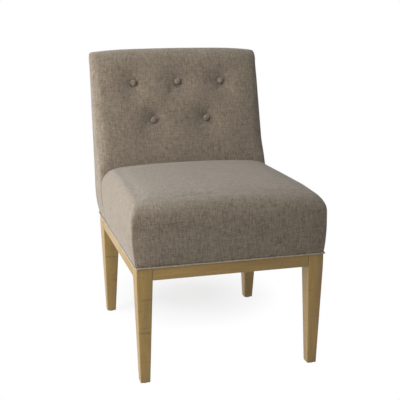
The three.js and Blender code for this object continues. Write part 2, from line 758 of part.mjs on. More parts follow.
function seatFoamGeometry() {
  const railZ = [0, SEAT_RAIL_TOP + FIT];
  const belowRails = block([-BASE_WIDTH, BASE_WIDTH], [-BASE_DEPTH, FAR_BEHIND], railZ);
  const spaceTop = DECK_BOTTOM + DECK_THICKNESS + FIT;
  const spaceY = [DECK_Y[0] - FIT, DECK_Y[1]];
  const deckSpace = archedSheet(BASE_HEIGHT, spaceTop, spaceY, DECK_HALF_WIDTH + FIT);
  return toGeometry(seatForm(FOAM_OUTSIDE, BASE_HEIGHT)
    .subtract(toSolid(belowRails))
    .subtract(toSolid(deckSpace))
    .subtract(behindFace(FIT + FOAM_OUTSIDE)));
}

function springGeometry() {
  const front = FRAME_FRONT + FRAME_THICKNESS / 2;
  const rear = FRAME_REAR - FRAME_THICKNESS / 2;
  const points = [new THREE.Vector3(0, front, 0)];
  const loopStart = FRAME_FRONT + FRAME_THICKNESS + SPRING_HALF_WIDTH / 2;
  const loopEnd = FRAME_REAR - FRAME_THICKNESS - SPRING_HALF_WIDTH / 2;
  const steps = SPRING_BARS * SPRING_STEPS_PER_BAR;
  for (let step = 0; step <= steps; step += 1) {
    const share = step / steps;
    const y = THREE.MathUtils.lerp(loopStart, loopEnd, share);
    const x = SPRING_HALF_WIDTH * Math.sin(Math.PI * SPRING_BARS * share);
    points.push(new THREE.Vector3(x, y, archAt(y)));
  }
  points.push(new THREE.Vector3(0, rear, 0));
  const path = new THREE.CatmullRomCurve3(points, false, 'centripetal');
  const wire = new THREE.Shape();
  wire.absarc(0, 0, SPRING_WIRE_RADIUS, 0, 2 * Math.PI);
  const options = { steps, curveSegments: WIRE_CURVE_STEPS, bevelEnabled: false, extrudePath: path };
  return new THREE.ExtrudeGeometry(wire, options);
}

// The seat block fills the frame's corner and reaches past the bolt
function seatBlockGeometry(corner) {
  const [boltX, boltY] = boltPlace(corner);
  const cornerX = corner.side * (FRAME_INNER_HALF_WIDTH - FIT);
  const atFront = corner.end === 'front';
  const inward = atFront ? 1 : -1;
  const railFace = atFront ? FRAME_FRONT + FRAME_THICKNESS : FRAME_REAR - FRAME_THICKNESS;
  const cornerY = railFace + inward * FIT;
  const reach = Math.abs(cornerX - boltX) + Math.abs(cornerY - boltY) + SEAT_BLOCK_EDGE * Math.SQRT2;
  const outline = [
    [cornerX, cornerY],
    [cornerX - corner.side * reach, cornerY],
    [cornerX, cornerY + inward * reach],
  ];
  const hole = { x: boltX, y: boltY, radius: BOLT_RADIUS + FIT };
  return upFrom(outline, [FRAME_BOTTOM, FRAME_BOTTOM + BLOCK_HEIGHT], [hole]);
}

function dustCoverGeometry() {
  const half = HALF_WIDTH - DRAW_IN - HEM_WIDTH - FIT;
  const front = SEAT_HEM_Y[0] + FIT;
  const rear = BACK_HEM_Y[1] - FIT;
  const outline = [[-half, front], [half, front], [half, rear], [-half, rear]];
  const holes = CORNERS.map((corner) => {
    const [x, y] = boltPlace(corner);
    return { x, y, radius: BOLT_RADIUS + FIT };
  });
  const top = FRAME_BOTTOM - FIT;
  return upFrom(outline, [top - DUST_COVER_THICKNESS, top], holes);
}

// The welt: a cord round the whole lower edge, with a flat tape turned in under the hem
function weltGeometry() {
  const cordInset = DRAW_IN - FIT - WELT_RADIUS;
  const bottom = BASE_HEIGHT + FIT;
  const section = [{ inset: cordInset + WELT_RADIUS + WELT_TAPE_WIDTH, z: bottom }];
  for (let step = 0; step < WELT_STEPS - 2; step += 1) {
    const angle = (2 * Math.PI * step) / WELT_STEPS - Math.PI / 2;
    section.push({
      inset: cordInset - WELT_RADIUS * Math.cos(angle),
      z: bottom + WELT_RADIUS + WELT_RADIUS * Math.sin(angle),
    });
  }
  section.push({ inset: cordInset + WELT_RADIUS, z: TAPE_TOP });
  section.push({ inset: cordInset + WELT_RADIUS + WELT_TAPE_WIDTH, z: TAPE_TOP });
  const rings = section.map(({ inset, z }) => {
    const radius = Math.max(WELT_CORNER_RADIUS - inset, FIT);
    const straight = HALF_WIDTH - inset - radius;
    const stops = BACK_REAR_SHARES.map((share) => share * straight);
    const outline = planOutline({
      halfWidth: HALF_WIDTH - inset,
      front: inset - FABRIC_OVERHANG,
      rear: BASE_DEPTH + FABRIC_OVERHANG - inset,
      frontRadius: radius,
      rearRadius: radius,
      frontStops: stops,
      rearStops: stops,
    });
    return outline.map(([x, y]) => new THREE.Vector3(x, y, z));
  });
  return closedLoft(rings);
}

function buildSeat() {
  const railZ = [FRAME_BOTTOM, SEAT_RAIL_TOP];
  const innerWidth = [FIT - FRAME_INNER_HALF_WIDTH, FRAME_INNER_HALF_WIDTH - FIT];
  const rearY = [FRAME_REAR - FRAME_THICKNESS, FRAME_REAR];
  const sideY = [FRAME_FRONT + FRAME_THICKNESS + FIT, POST_FRONT - FIT];
  const leftX = [-FRAME_HALF_WIDTH, -FRAME_INNER_HALF_WIDTH];
  const rightX = [FRAME_INNER_HALF_WIDTH, FRAME_HALF_WIDTH];
  addPiece(seat, 'front_seat_rail', frontRailGeometry(), FRAME_WOOD);
  addPiece(seat, 'rear_seat_rail', block(innerWidth, rearY, railZ), FRAME_WOOD);
  addPiece(seat, 'left_seat_rail', block(leftX, sideY, railZ), FRAME_WOOD);
  addPiece(seat, 'right_seat_rail', block(rightX, sideY, railZ), FRAME_WOOD);
  for (const corner of CORNERS) {
    addPiece(seat, `${corner.name}_seat_block`, seatBlockGeometry(corner), FRAME_WOOD);
  }
  for (let index = 0; index < SPRING_COUNT; index += 1) {
    const spring = addPiece(seat, `seat_spring_${index + 1}`, springGeometry(), STEEL);
    const pitch = (2 * FRAME_INNER_HALF_WIDTH) / SPRING_COUNT;
    const x = index * pitch + pitch / 2 - FRAME_INNER_HALF_WIDTH;
    spring.position.set(x, 0, SPRING_LEVEL);
  }
  const deck = archedSheet(DECK_BOTTOM, DECK_BOTTOM + DECK_THICKNESS, DECK_Y, DECK_HALF_WIDTH);
  addPiece(seat, 'seat_deck', deck, DECKING);
  addPiece(seat, 'seat_foam', seatFoamGeometry(), FOAM);
  addPiece(seat, 'seat_batting', seatBattingGeometry(), BATTING);
  addPiece(seat, 'seat_cover', seatCoverGeometry(), FABRIC);
  addPiece(seat, 'welt', weltGeometry(), FABRIC);
  addPiece(seat, 'dust_cover', dustCoverGeometry(), CAMBRIC);
}

// Back

const BUTTONS = [
  { name: 'upper_left', x: -UPPER_BUTTON_SPACING, z: UPPER_BUTTON_HEIGHT },
  { name: 'upper_middle', x: 0, z: UPPER_BUTTON_HEIGHT },
  { name: 'upper_right', x: UPPER_BUTTON_SPACING, z: UPPER_BUTTON_HEIGHT },
  { name: 'lower_left', x: -LOWER_BUTTON_SPACING, z: LOWER_BUTTON_HEIGHT },
  { name: 'lower_right', x: LOWER_BUTTON_SPACING, z: LOWER_BUTTON_HEIGHT },
];

// How deep one dimple is at a distance from its button, and all of them together
function dimple(distance) {
  const share = Math.min(distance / TUFT_RADIUS, 1);
  return TUFT_DEPTH * (1 - share) ** 2;
}

function tuftDepth(x, z) {
  const depths = BUTTONS.map((button) => dimple(Math.hypot(x - button.x, z - button.z)));
  return Math.max(...depths);
}

function postFront(z) {
  const topFront = backRear(POST_TOP) - FRAME_INSET - POST_TOP_DEPTH;
  const share = Math.max((z - POST_UPRIGHT_HEIGHT) / (POST_TOP - POST_UPRIGHT_HEIGHT), 0);
  return THREE.MathUtils.lerp(POST_FRONT, topFront, share);
}

function postLean() {
  const lean = postFront(POST_TOP) - postFront(POST_UPRIGHT_HEIGHT);
  return Math.atan2(lean, POST_TOP - POST_UPRIGHT_HEIGHT);
}

// The x places where the back's grid has points: at the buttons, between them and beyond
function backStops(straight) {
  const right = [
    LOWER_BUTTON_SPACING / 2,
    LOWER_BUTTON_SPACING,
    (LOWER_BUTTON_SPACING + UPPER_BUTTON_SPACING) / 2,
    UPPER_BUTTON_SPACING,
    (UPPER_BUTTON_SPACING + straight) / 2,
  ];
  return [...right.map((x) => -x).toReversed(), 0, ...right];
}

function backLevels(bottom) {
  const rollStart = CHAIR_HEIGHT - BACK_TOP_CROWN - BACK_TOP_ROLL;
  const belowRows = LOWER_BUTTON_HEIGHT - TUFT_RADIUS;
  return [
    ...BACK_LOW_SHARES.map((share) => THREE.MathUtils.lerp(bottom, belowRows, share)),
    belowRows,
    LOWER_BUTTON_HEIGHT - TUFT_RADIUS / 2,
    LOWER_BUTTON_HEIGHT,
    LOWER_BUTTON_HEIGHT + BUTTON_ROW_GAP / 3,
    UPPER_BUTTON_HEIGHT - BUTTON_ROW_GAP / 3,
    UPPER_BUTTON_HEIGHT,
    (UPPER_BUTTON_HEIGHT + rollStart) / 2,
    rollStart,
  ];
}

// The back's front edges are tight beside the seat and grow round above it
function backFrontRadius(z) {
  const start = SEAT_ROLL_START;
  const end = LOWER_BUTTON_HEIGHT - TUFT_RADIUS;
  const share = THREE.MathUtils.clamp((z - start) / (end - start), 0, 1);
  return THREE.MathUtils.lerp(BACK_SEAM_CORNER, BACK_FRONT_CORNER, share);
}

// The back's closed form: a leaning slab with rolled edges, a crowned top and tufted dimples.
// The swell at its sides fades towards the top of the rear face.
function backForm(inset, bottom) {
  const cornerAt = (radius, angle) => {
    const tight = radius * BACK_TOP_CORNER_SHARE;
    return THREE.MathUtils.lerp(radius - inset, tight, 1 - Math.cos(angle));
  };
  const ringAt = (z, side, front, rear, angle) => {
    const frontRadius = cornerAt(backFrontRadius(z), angle);
    const halfWidth = HALF_WIDTH + swell(z) - side;
    const rearHalfWidth = halfWidth - swell(z) * ((z - COVER_BOTTOM) / (CHAIR_HEIGHT - COVER_BOTTOM));
    const outline = planOutline({
      halfWidth,
      rearHalfWidth,
      front: backFace(z) + front,
      rear: backRear(z) - rear,
      frontRadius,
      rearRadius: cornerAt(BACK_REAR_CORNER, angle),
      frontStops: backStops(halfWidth - frontRadius),
      rearStops: BACK_REAR_SHARES.map((share) => share * rearHalfWidth),
    });
    const faceLimit = backFace(z) + front + FIT;
    return outline.map(([x, y]) => {
      const across = x / HALF_WIDTH;
      const crown = BACK_TOP_CROWN * (1 - across ** 2) * Math.sin(angle);
      const depth = y < faceLimit ? tuftDepth(x, z) : 0;
      return new THREE.Vector3(x, y + depth, z + crown);
    });
  };
  const levels = backLevels(bottom);
  const rings = levels.map((z) => {
    const total = inset + drawIn(z);
    return ringAt(z, total, inset, total, 0);
  });
  const rollStart = levels.at(-1);
  for (let step = 1; step <= ROLL_STEPS; step += 1) {
    const angle = (Math.PI / 2) * (step / ROLL_STEPS);
    const shrink = 1 - Math.cos(angle);
    const side = inset + (BACK_SIDE_ROLL - inset) * shrink;
    const front = inset + (BACK_FRONT_ROLL - inset) * shrink;
    const rear = inset + (BACK_REAR_ROLL - inset) * shrink;
    const z = rollStart + (BACK_TOP_ROLL - inset) * Math.sin(angle);
    rings.push(ringAt(z, side, front, rear, angle));
  }
  const edge = rings.at(-1);
  const ridge = middle(edge);
  ridge.z = Math.max(...edge.map((point) => point.z));
  rings.push(edge.map((point) => new THREE.Vector3(
    point.x * BACK_RIDGE_LENGTH_SHARE,
    THREE.MathUtils.lerp(point.y, ridge.y, BACK_RIDGE_SHARE),
    point.z,
  )));
  return toSolid(loft(rings, ridge));
}

// All that lies behind a plane inside the back's rear face
function rearZone(depth) {
  const low = BASE_HEIGHT;
  const high = CHAIR_HEIGHT + OVERRUN;
  const profile = [
    [backRear(low) - DRAW_IN - depth, low],
    [backRear(high) - depth, high],
    [FAR_BEHIND, high],
    [FAR_BEHIND, low],
  ];
  return toSolid(alongX(profile, [-BASE_WIDTH, BASE_WIDTH]));
}

function backSkin() {
  return backForm(0, COVER_BOTTOM)
    .subtract(backForm(COVER_INSIDE, COVER_BOTTOM + COVER_THICKNESS))
    .subtract(hemOpening(BACK_HEM_Y))
    .subtract(tuckOpening(BACK_TUCK_Y, TUCK_HALF_WIDTH));
}

// The line that each button is pulled in along, square to the back's face, pointing inwards
const LEAN_ANGLE = Math.atan(BACK_LEAN / BACK_HEIGHT);
const INWARD = new THREE.Vector3(0, Math.cos(LEAN_ANGLE), -Math.sin(LEAN_ANGLE));

function tuftBottom(button) {
  return new THREE.Vector3(button.x, backFace(button.z) + tuftDepth(button.x, button.z), button.z);
}

// A cylinder along a button's line, between two distances from the bottom of its dimple
function alongLine(button, radius, from, to, sides) {
  const geometry = new THREE.CylinderGeometry(radius, radius, to - from, sides);
  geometry.rotateX(-LEAN_ANGLE);
  const center = tuftBottom(button).addScaledVector(INWARD, (from + to) / 2);
  geometry.translate(center.x, center.y, center.z);
  return geometry;
}

// Where the twine reaches the webbing, as a distance from the bottom of the dimple
function twineReach(button) {
  const start = tuftBottom(button);
  const strapFace = (z) => postFront(z) - 2 * FIT - STRAP_THICKNESS;
  return (strapFace(start.z) - start.y) / (INWARD.y - Math.tan(postLean()) * INWARD.z);
}

function strapHeight(button) {
  return button.z + twineReach(button) * INWARD.z;
}

function pierced(solid) {
  let result = solid;
  for (const button of BUTTONS) {
    const end = twineReach(button) + OVERRUN;
    const hole = alongLine(button, SHANK_HOLE_RADIUS, -OVERRUN, end, TWINE_SIDES);
    result = result.subtract(toSolid(hole));
  }
  return result;
}

function insideBackGeometry() {
  return toGeometry(pierced(backSkin().subtract(rearZone(OUTSIDE_BACK_LIP + FIT))));
}

function outsideBackGeometry() {
  return toGeometry(backSkin().intersect(rearZone(OUTSIDE_BACK_LIP)));
}

function backBattingGeometry() {
  const shell = backForm(BATTING_OUTSIDE, FRAME_BOTTOM)
    .subtract(backForm(BATTING_INSIDE, BASE_HEIGHT))
    .subtract(tuckOpening([0, FAR_BEHIND], BASE_WIDTH))
    .subtract(rearZone(2 * OUTSIDE_BACK_LIP));
  return toGeometry(pierced(shell));
}

function backFoamGeometry() {
  const front = (z) => postFront(z) - 2 * FIT - STRAP_THICKNESS;
  const profile = [
    [front(POST_UPRIGHT_HEIGHT), BASE_HEIGHT],
    [front(POST_UPRIGHT_HEIGHT), POST_UPRIGHT_HEIGHT],
    [front(POST_TOP + FIT), POST_TOP + FIT],
    [FAR_BEHIND, POST_TOP + FIT],
    [FAR_BEHIND, BASE_HEIGHT],
  ];
  const frameSpace = toSolid(alongX(profile, [-BASE_WIDTH, BASE_WIDTH]));
  const below = block([-BASE_WIDTH, BASE_WIDTH], [0, FAR_BEHIND], [0, BACK_TUCK_HEIGHT]);
  const foam = backForm(FOAM_OUTSIDE, BASE_HEIGHT)
    .subtract(frameSpace)
    .subtract(toSolid(below))
    .subtract(rearZone(2 * OUTSIDE_BACK_LIP));
  return toGeometry(pierced(foam));
}

function postGeometry(x) {
  const rear = (z) => backRear(z) - FRAME_INSET;
  const profile = [
    [POST_FRONT, FRAME_BOTTOM],
    [FRAME_REAR, FRAME_BOTTOM],
    [rear(POST_TOP), POST_TOP],
    [postFront(POST_TOP), POST_TOP],
    [POST_FRONT, POST_UPRIGHT_HEIGHT],
  ];
  return alongX(profile, x);
}

// A rail between the posts whose face lies in the plane of their fronts
function backRailGeometry(bottom) {
  const top = bottom + BACK_RAIL_HEIGHT;
  const profile = [
    [postFront(bottom), bottom],
    [postFront(bottom) + FRAME_THICKNESS, bottom],
    [postFront(top) + FRAME_THICKNESS, top],
    [postFront(top), top],
  ];
  return alongX(profile, [FIT - FRAME_INNER_HALF_WIDTH, FRAME_INNER_HALF_WIDTH - FIT]);
}

// A covered button with its shank: a dome on a flat back, turned about its line
function buttonGeometry() {
  const profile = [
    [0, -SHANK_LENGTH],
    [SHANK_RADIUS, -SHANK_LENGTH],
    [SHANK_RADIUS, 0],
    ...BUTTON_DOME_SHARES.map(([radius, height]) => [radius * BUTTON_RADIUS, height * BUTTON_THICKNESS]),
  ];
  const points = profile.map(([radius, height]) => new THREE.Vector2(radius, height));
  return new THREE.LatheGeometry(points, ROUND_SIDES);
}

function buildBack() {
  const innerX = FRAME_INNER_HALF_WIDTH;
  addPiece(back, 'left_back_post', postGeometry([-FRAME_HALF_WIDTH, -innerX]), FRAME_WOOD);
  addPiece(back, 'right_back_post', postGeometry([innerX, FRAME_HALF_WIDTH]), FRAME_WOOD);
  addPiece(back, 'lower_back_rail', backRailGeometry(BACK_TUCK_HEIGHT), FRAME_WOOD);
  addPiece(back, 'top_back_rail', backRailGeometry(POST_TOP - BACK_RAIL_HEIGHT), FRAME_WOOD);
  addPiece(back, 'back_foam', backFoamGeometry(), FOAM);
  addPiece(back, 'back_batting', backBattingGeometry(), BATTING);
  addPiece(back, 'inside_back_cover', insideBackGeometry(), FABRIC);
  addPiece(back, 'outside_back_cover', outsideBackGeometry(), FABRIC);

  const straps = {
    lower_strap: LOWER_STRAP_HEIGHT,
    middle_strap: strapHeight(BUTTONS.at(-1)),
    upper_strap: strapHeight(BUTTONS[0]),
  };
  const strapWidth = 2 * (FRAME_HALF_WIDTH - STRAP_END_MARGIN);
  for (const [name, z] of Object.entries(straps)) {
    const strap = addPiece(
      back,
      name,
      new THREE.BoxGeometry(strapWidth, STRAP_THICKNESS, STRAP_HEIGHT),
      WEBBING,
    );
    const standOff = (FIT + STRAP_THICKNESS / 2) / Math.cos(postLean());
    strap.position.set(0, postFront(z) - standOff, z);
    strap.rotation.x = -postLean();
  }

  for (const button of BUTTONS) {
    const standOff = dimple(0) - dimple(BUTTON_RADIUS) + FIT;
    const place = tuftBottom(button).addScaledVector(INWARD, -standOff);
    const mesh = addPiece(back, `button_${button.name}`, buttonGeometry(), FABRIC);
    mesh.position.copy(place);
    mesh.rotation.x = Math.PI - LEAN_ANGLE;
    const from = SHANK_LENGTH - standOff + FIT;
    const to = twineReach(button) - FIT;
    const twine = alongLine(button, TWINE_RADIUS, from, to, TWINE_SIDES);
    addPiece(back, `twine_${button.name}`, twine, TWINE);
  }
}

buildBase();
buildSeat();
buildBack();

// The origin goes to the middle of the chair's outline, on the floor
const outline = new THREE.Box3().setFromObject(chair);
chair.position.y = -(outline.min.y + outline.max.y) / 2;

export default chair;
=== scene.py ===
import json
import math

import bmesh
import bpy
import numpy as np
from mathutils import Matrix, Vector

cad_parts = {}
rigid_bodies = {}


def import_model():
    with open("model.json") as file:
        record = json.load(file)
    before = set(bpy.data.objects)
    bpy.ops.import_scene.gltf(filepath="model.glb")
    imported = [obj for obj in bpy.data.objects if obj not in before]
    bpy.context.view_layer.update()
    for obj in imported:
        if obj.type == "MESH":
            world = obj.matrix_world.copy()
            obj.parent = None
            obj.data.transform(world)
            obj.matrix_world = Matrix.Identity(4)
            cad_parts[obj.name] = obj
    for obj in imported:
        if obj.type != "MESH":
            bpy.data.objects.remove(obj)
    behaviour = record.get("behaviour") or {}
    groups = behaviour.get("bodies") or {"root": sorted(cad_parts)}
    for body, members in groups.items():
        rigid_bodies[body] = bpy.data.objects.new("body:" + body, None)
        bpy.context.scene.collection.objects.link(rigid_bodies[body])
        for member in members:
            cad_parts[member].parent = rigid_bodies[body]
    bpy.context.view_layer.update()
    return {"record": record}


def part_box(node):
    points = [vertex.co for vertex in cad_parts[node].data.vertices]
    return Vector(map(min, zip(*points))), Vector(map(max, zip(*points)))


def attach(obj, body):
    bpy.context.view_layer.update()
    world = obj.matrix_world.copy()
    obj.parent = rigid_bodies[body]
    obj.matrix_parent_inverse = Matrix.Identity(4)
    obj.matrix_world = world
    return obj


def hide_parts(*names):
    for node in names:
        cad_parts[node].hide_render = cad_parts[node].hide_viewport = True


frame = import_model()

# A slipper chair in metres, +Z up, facing -Y. Left is -X, as seen from the front.
# Places along Y are measured back from the front face of the wooden base.
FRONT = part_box("front_left_leg")[0].y
BASE_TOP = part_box("front_left_leg")[1].z
BASE_HALF_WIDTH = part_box("front_right_leg")[1].x
BASE_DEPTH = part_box("rear_left_leg")[1].y - FRONT
COVER_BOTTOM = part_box("seat_cover")[0].z
CHAIR_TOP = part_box("inside_back_cover")[1].z
SEAT_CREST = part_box("seat_cover")[1].z
CORNERS = ("front_left", "front_right", "rear_left", "rear_right")
CLEARANCE = 0.0003
TOLERANCE = 0.0006
MILLIMETRE = 0.001
FULL_TURN = 2 * math.pi
QUARTER_TURN = FULL_TURN / 4
EIGHTH_TURN = FULL_TURN / 8
FULL = 1
WHITE = (1, 1, 1)

# Camera
EYE = Vector((-0.6645, -2.40385, 1.0382))
TARGET = Vector((-0.0064, -0.03345, 0.4303))
LENS = 75.67
SENSOR = 36

# Light: a sky that is dimmer on the right, and square lamps that face the chair. A lamp's strength
# is how bright it makes a white face that is turned towards it.
SKY_LEFT = 0.7
SKY_RIGHT = 0.18
LAMP_AIM = Vector((0, 0, 0.45))
LAMP_SIZE = 1.6
LAMPS = {
    "left_lamp": (Vector((-2, 0, 0.9)), 1.08),
    "front_left_lamp": (Vector((-2, -0.9, 1.3)), 0.68),
    "top_lamp": (Vector((-0.6, -0.4, 2.3)), 0.58),
}

# Floor: its own colour, and how it turns to white round the shade under the chair
FLOOR_SIZE = 14
FLOOR_COLOR = (0.7, 0.7, 0.7)
FLOOR_NEAR_SHARE = 0.68
FLOOR_SHADE_PLACE = Vector((0.04, 0.33, 0))
FLOOR_SHADE_RADIUS = 0.08
FLOOR_WHITE_RADIUS = 0.34

# Upholstery outline
FABRIC_OVERHANG = 0.005
HALF_WIDTH = BASE_HALF_WIDTH + FABRIC_OVERHANG
DRAW_IN = 0.0044
DRAW_IN_HEIGHT = 0.09
SIDE_SWELL = 0.0075
EDGE_BOW_POWER = 6
HEM_WIDTH = 0.018

# Seat cushion
SEAT_CROWN = 0.011
SEAT_CROWN_POWER = 2.5
SEAT_LIFT = 0.004
SEAT_EDGE_BOW = 0.008
SEAT_BOW_DEPTH = 0.08
SEAT_FRONT_DROP = 0.012
SEAT_DROP_LENGTH = 0.19
SEAT_ROLL_START = 0.452
SEAT_FRONT_SIDE_ROLL = 0.028
SEAT_REAR_SIDE_ROLL = 0.042
SEAT_TOP_CORNER = 0.018
SEAT_FRONT_ROLL = 0.058
SEAT_REAR_ROLL = 0.012
SEAT_CORNER_RADIUS = 0.004
SEAT_REAR_RADIUS = 0.006
SEAT_COLUMNS = 76
SEAT_ROWS = 68
SEAT_SIDE_LEVELS = 16
SEAT_ROLL_LEVELS = 9
SEAT_CORNER_CROWDING = 0.6
SEAT_SLACK_SHARE = 0.5
SEAT_SEAM_DEPTH = 0.0016
SEAT_SEAM_WIDTH = 0.0026
SEAT_SEAM_TOP = 0.468
SEAT_SEAM_FADE = 0.02

# Back cushion
BACK_RISE = CHAIR_TOP - BASE_TOP
BACK_SETBACK = 0.461
BACK_LEAN = 0.171
INTO_BACK = Vector((0, BACK_RISE, -BACK_LEAN)).normalized()
BACK_TOP_DEPTH = 0.062
BACK_TOP_CROWN = 0.009
BACK_CROWN_POWER = 4
BACK_TOP_ROLL = 0.03
BACK_ROLL_START = CHAIR_TOP - BACK_TOP_CROWN - BACK_TOP_ROLL
BACK_FRONT_ROLL = 0.027
BACK_SIDE_ROLL = 0.007
BACK_REAR_ROLL = 0.012
BACK_FRONT_CORNER = 0.026
BACK_SEAM_CORNER = 0.007
BACK_REAR_CORNER = 0.01
BACK_CORNER_END = 0.566
BACK_TOP_CORNER_SHARE = 0.4
BACK_LIP = 0.008
BACK_EDGE_BOW = 0.007
BACK_BOW_START = 0.06
BACK_BOW_DEPTH = 0.06
BACK_FLARE = 0.005
BACK_COLUMNS = 84
BACK_ROWS = 20
BACK_LEVELS = 74
BACK_ROLL_LEVELS = 8
BACK_CROWDING = 0.5
BACK_SLACK_SHARE = 0.25
SEAM_RADIUS = 0.0008
SEAM_DRAW = 0.0008
SEAM_REACH = 0.0018
SEAM_DRAW_SHARE = 0.25

# Outside back panel
PANEL_CROWN = 0.002
PANEL_ROWS = 8
PANEL_SEAM_SHARE = 0.25
PANEL_CORNER_SHARE = 0.8
PANEL_TOP_SHARE = 0.92
PANEL_LAST_ANGLE = math.acos(1 - PANEL_TOP_SHARE * BACK_LIP / BACK_REAR_ROLL)

# Tufts, the buttons' places across and up, and the pulls between them
UPPER_BUTTON_HEIGHT = 0.754
LOWER_BUTTON_HEIGHT = 0.638
UPPER_BUTTON_SPACING = 0.145
LOWER_BUTTON_SPACING = 0.088
TUFT_DEPTH = 0.014
TUFT_RADIUS = 0.085
TUFT_PIN_RADIUS = 0.011
PULL_DEPTH = 0.0035
PULL_WIDTH = 0.013
BUTTONS = {
    "upper_left": (-UPPER_BUTTON_SPACING, UPPER_BUTTON_HEIGHT),
    "upper_middle": (0, UPPER_BUTTON_HEIGHT),
    "upper_right": (UPPER_BUTTON_SPACING, UPPER_BUTTON_HEIGHT),
    "lower_left": (-LOWER_BUTTON_SPACING, LOWER_BUTTON_HEIGHT),
    "lower_right": (LOWER_BUTTON_SPACING, LOWER_BUTTON_HEIGHT),
}
PULLS = ["upper_left", "lower_left", "upper_middle", "lower_right", "upper_right"]

# Buttons and twines. The profile's rows are shares of the radius, the thickness and the pleats.
BUTTON_RADIUS = 0.0098
BUTTON_THICKNESS = 0.008
BUTTON_SIDES = 48
BUTTON_PLEATS = 12
BUTTON_PLEAT_DEPTH = 0.0005
BUTTON_SHARP_ANGLE = math.radians(60)
BUTTON_PROFILE_SHARES = [
    [0.8, 0, 1],
    [0.93, 0.06, 1],
    [0.99, 0.2, 0.8],
    [1, 0.34, 0.3],
    [0.97, 0.5, 0],
    [0.9, 0.66, 0],
    [0.78, 0.8, 0],
    [0.6, 0.91, 0],
    [0.38, 0.97, 0],
    [0.12, 1, 0],
]
SHANK_RADIUS = 0.0016
SHANK_LENGTH = 0.012
TWINE_RADIUS = 0.0015
TWINE_STEP = 0.0008
TWINE_PITCH = 0.007
TWINE_GROOVE_SHARE = 0.35

# Simulated padding: how much smaller it starts, its pressure and how far a point may move
SLACK = 0.001
HIDDEN_REACH = 0.002
PRESSURE = 4
MOST_SWELL = 0.004
SINK_SHARE = 0.25
FIRST_FRAME = 1
LAST_FRAME = 20
EVENING_ROUNDS = 10
LEAST_SHIFT = 1e-9

# Inner frame, which the padding is hollowed out for by cuts that run out well past it
FRAME_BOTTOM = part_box("front_seat_rail")[0].z
SEAT_RAIL_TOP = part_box("front_seat_rail")[1].z
TUCK_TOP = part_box("lower_back_rail")[0].z
POST_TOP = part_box("left_back_post")[1].z
FRAME_SPACE_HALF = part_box("front_seat_rail")[1].x + CLEARANCE
FRAME_SPACE_X = (-FRAME_SPACE_HALF, FRAME_SPACE_HALF)
DECK_LOW, DECK_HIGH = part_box("seat_deck")
FRAME_INSET = 0.0102
STRAP_SPACE = 0.0021
POST_UPRIGHT_HEIGHT = 0.4
POST_THICKNESS = 0.024
CUT_REAR = 1
CUT_LOW = 0.25
CUT_SHARP_ANGLE = math.radians(50)

# Wooden base
BASE_RAIL_HEIGHT = 0.034
BASE_RAIL_THICKNESS = 0.022
TENON_LENGTH = 0.018
TENON_THICKNESS = 0.009
TENON_SHOULDER = 0.005
TENON_INSET = (BASE_RAIL_THICKNESS - TENON_THICKNESS) / 2
FRONT_FOOT = (0.027, 0.029)
REAR_FOOT = (0.028, 0.028)
WOOD_RADIUS = 0.0018
WOOD_EASE = 0.0016
WOOD_CORNER_STEPS = 4
SHARP_ANGLE = math.radians(35)
GLIDE_HEIGHT = 0.003
GLIDE_EDGE = 0.001
GLIDE_NAIL_RADIUS = 0.0012
GLIDE_NAIL_TOP = 0.0153
ROUND_SIDES = 32

# Welt
WELT_RADIUS = 0.0022
WELT_CORNER_RADIUS = 0.007
WELT_TAPE_WIDTH = 0.012
WELT_TAPE_THICKNESS = 0.0009
WELT_WRAP = math.radians(270)
WELT_SECTION_STEPS = 10
WELT_COLUMNS = 360
WELT_ROWS = 410
WELT_TWIST_STEPS = 4
WELT_TWIST_SHARE = 0.16

# Hidden cloth
STRAP_HEIGHT = 0.05
STRAP_THICKNESS = 0.0015
STRAP_RIB = 0.00015
STRAP_RIB_PITCH = 0.008
STRAP_COLUMNS = 260
STRAP_ROWS = 8
DECK_THICKNESS = 0.004
DECK_FIT_SHARE = 0.995
DECK_DIMPLE = 0.001
DECK_QUILT_PITCH = 0.04
DECK_QUILT_POWER = 4
DECK_STEPS = 80
DUST_SAG = 0.004
DUST_PUCKER = 0.0012
DUST_PUCKER_REACH = 0.02
DUST_STEPS = 90
BOLT_HOLE_RADIUS = 0.0043
STAPLE_PITCH = 0.045
STAPLE_INSET = 0.006
STAPLE_LENGTH = 0.01
STAPLE_WIRE = 0.0004
STAPLE_SIDES = 6

# Tweed: yarn sizes, how much each pattern counts, colours and gloss
YARN_STREAK = 0.012
YARN_PITCH = 0.0014
FLECK_WIDTH = 0.0014
FLECK_LENGTH = 0.0018
PATCH_SIZE = 0.05
PATCH_DETAIL = 2
WEFT_SEED, WARP_SEED, FLECK_SEED, PATCH_SEED = 1, 2, 3, 4
WEFT_SHARE = 0.45
WARP_SHARE = 0.6
FLECK_SHARE = 0.25
PATCH_SHARE = 0.12
WEAVE_SHARE = 0.12
WEAVE_HEIGHT_SHARE = 0.5
TWEED_SPREAD = 0.68
TWEED_DARK = (0.061, 0.047, 0.032)
TWEED_LIGHT = (0.265, 0.215, 0.158)
TWEED_ROUGHNESS = 0.95
TWEED_SPECULAR = 0.2
TWEED_SIDE_NORMAL = 0.7
TWEED_RELIEF = 0.0004
SEAT_RUN = 1
BACK_RUN = 0.45
# Painted light: the welt is the seat's tweed made this much lighter, to brighten the shade along its cord
WELT_PAINTED_LIGHT_TONE = 1.8
SHEEN_WEIGHT = 0.27
SHEEN_ROUGHNESS = 0.5

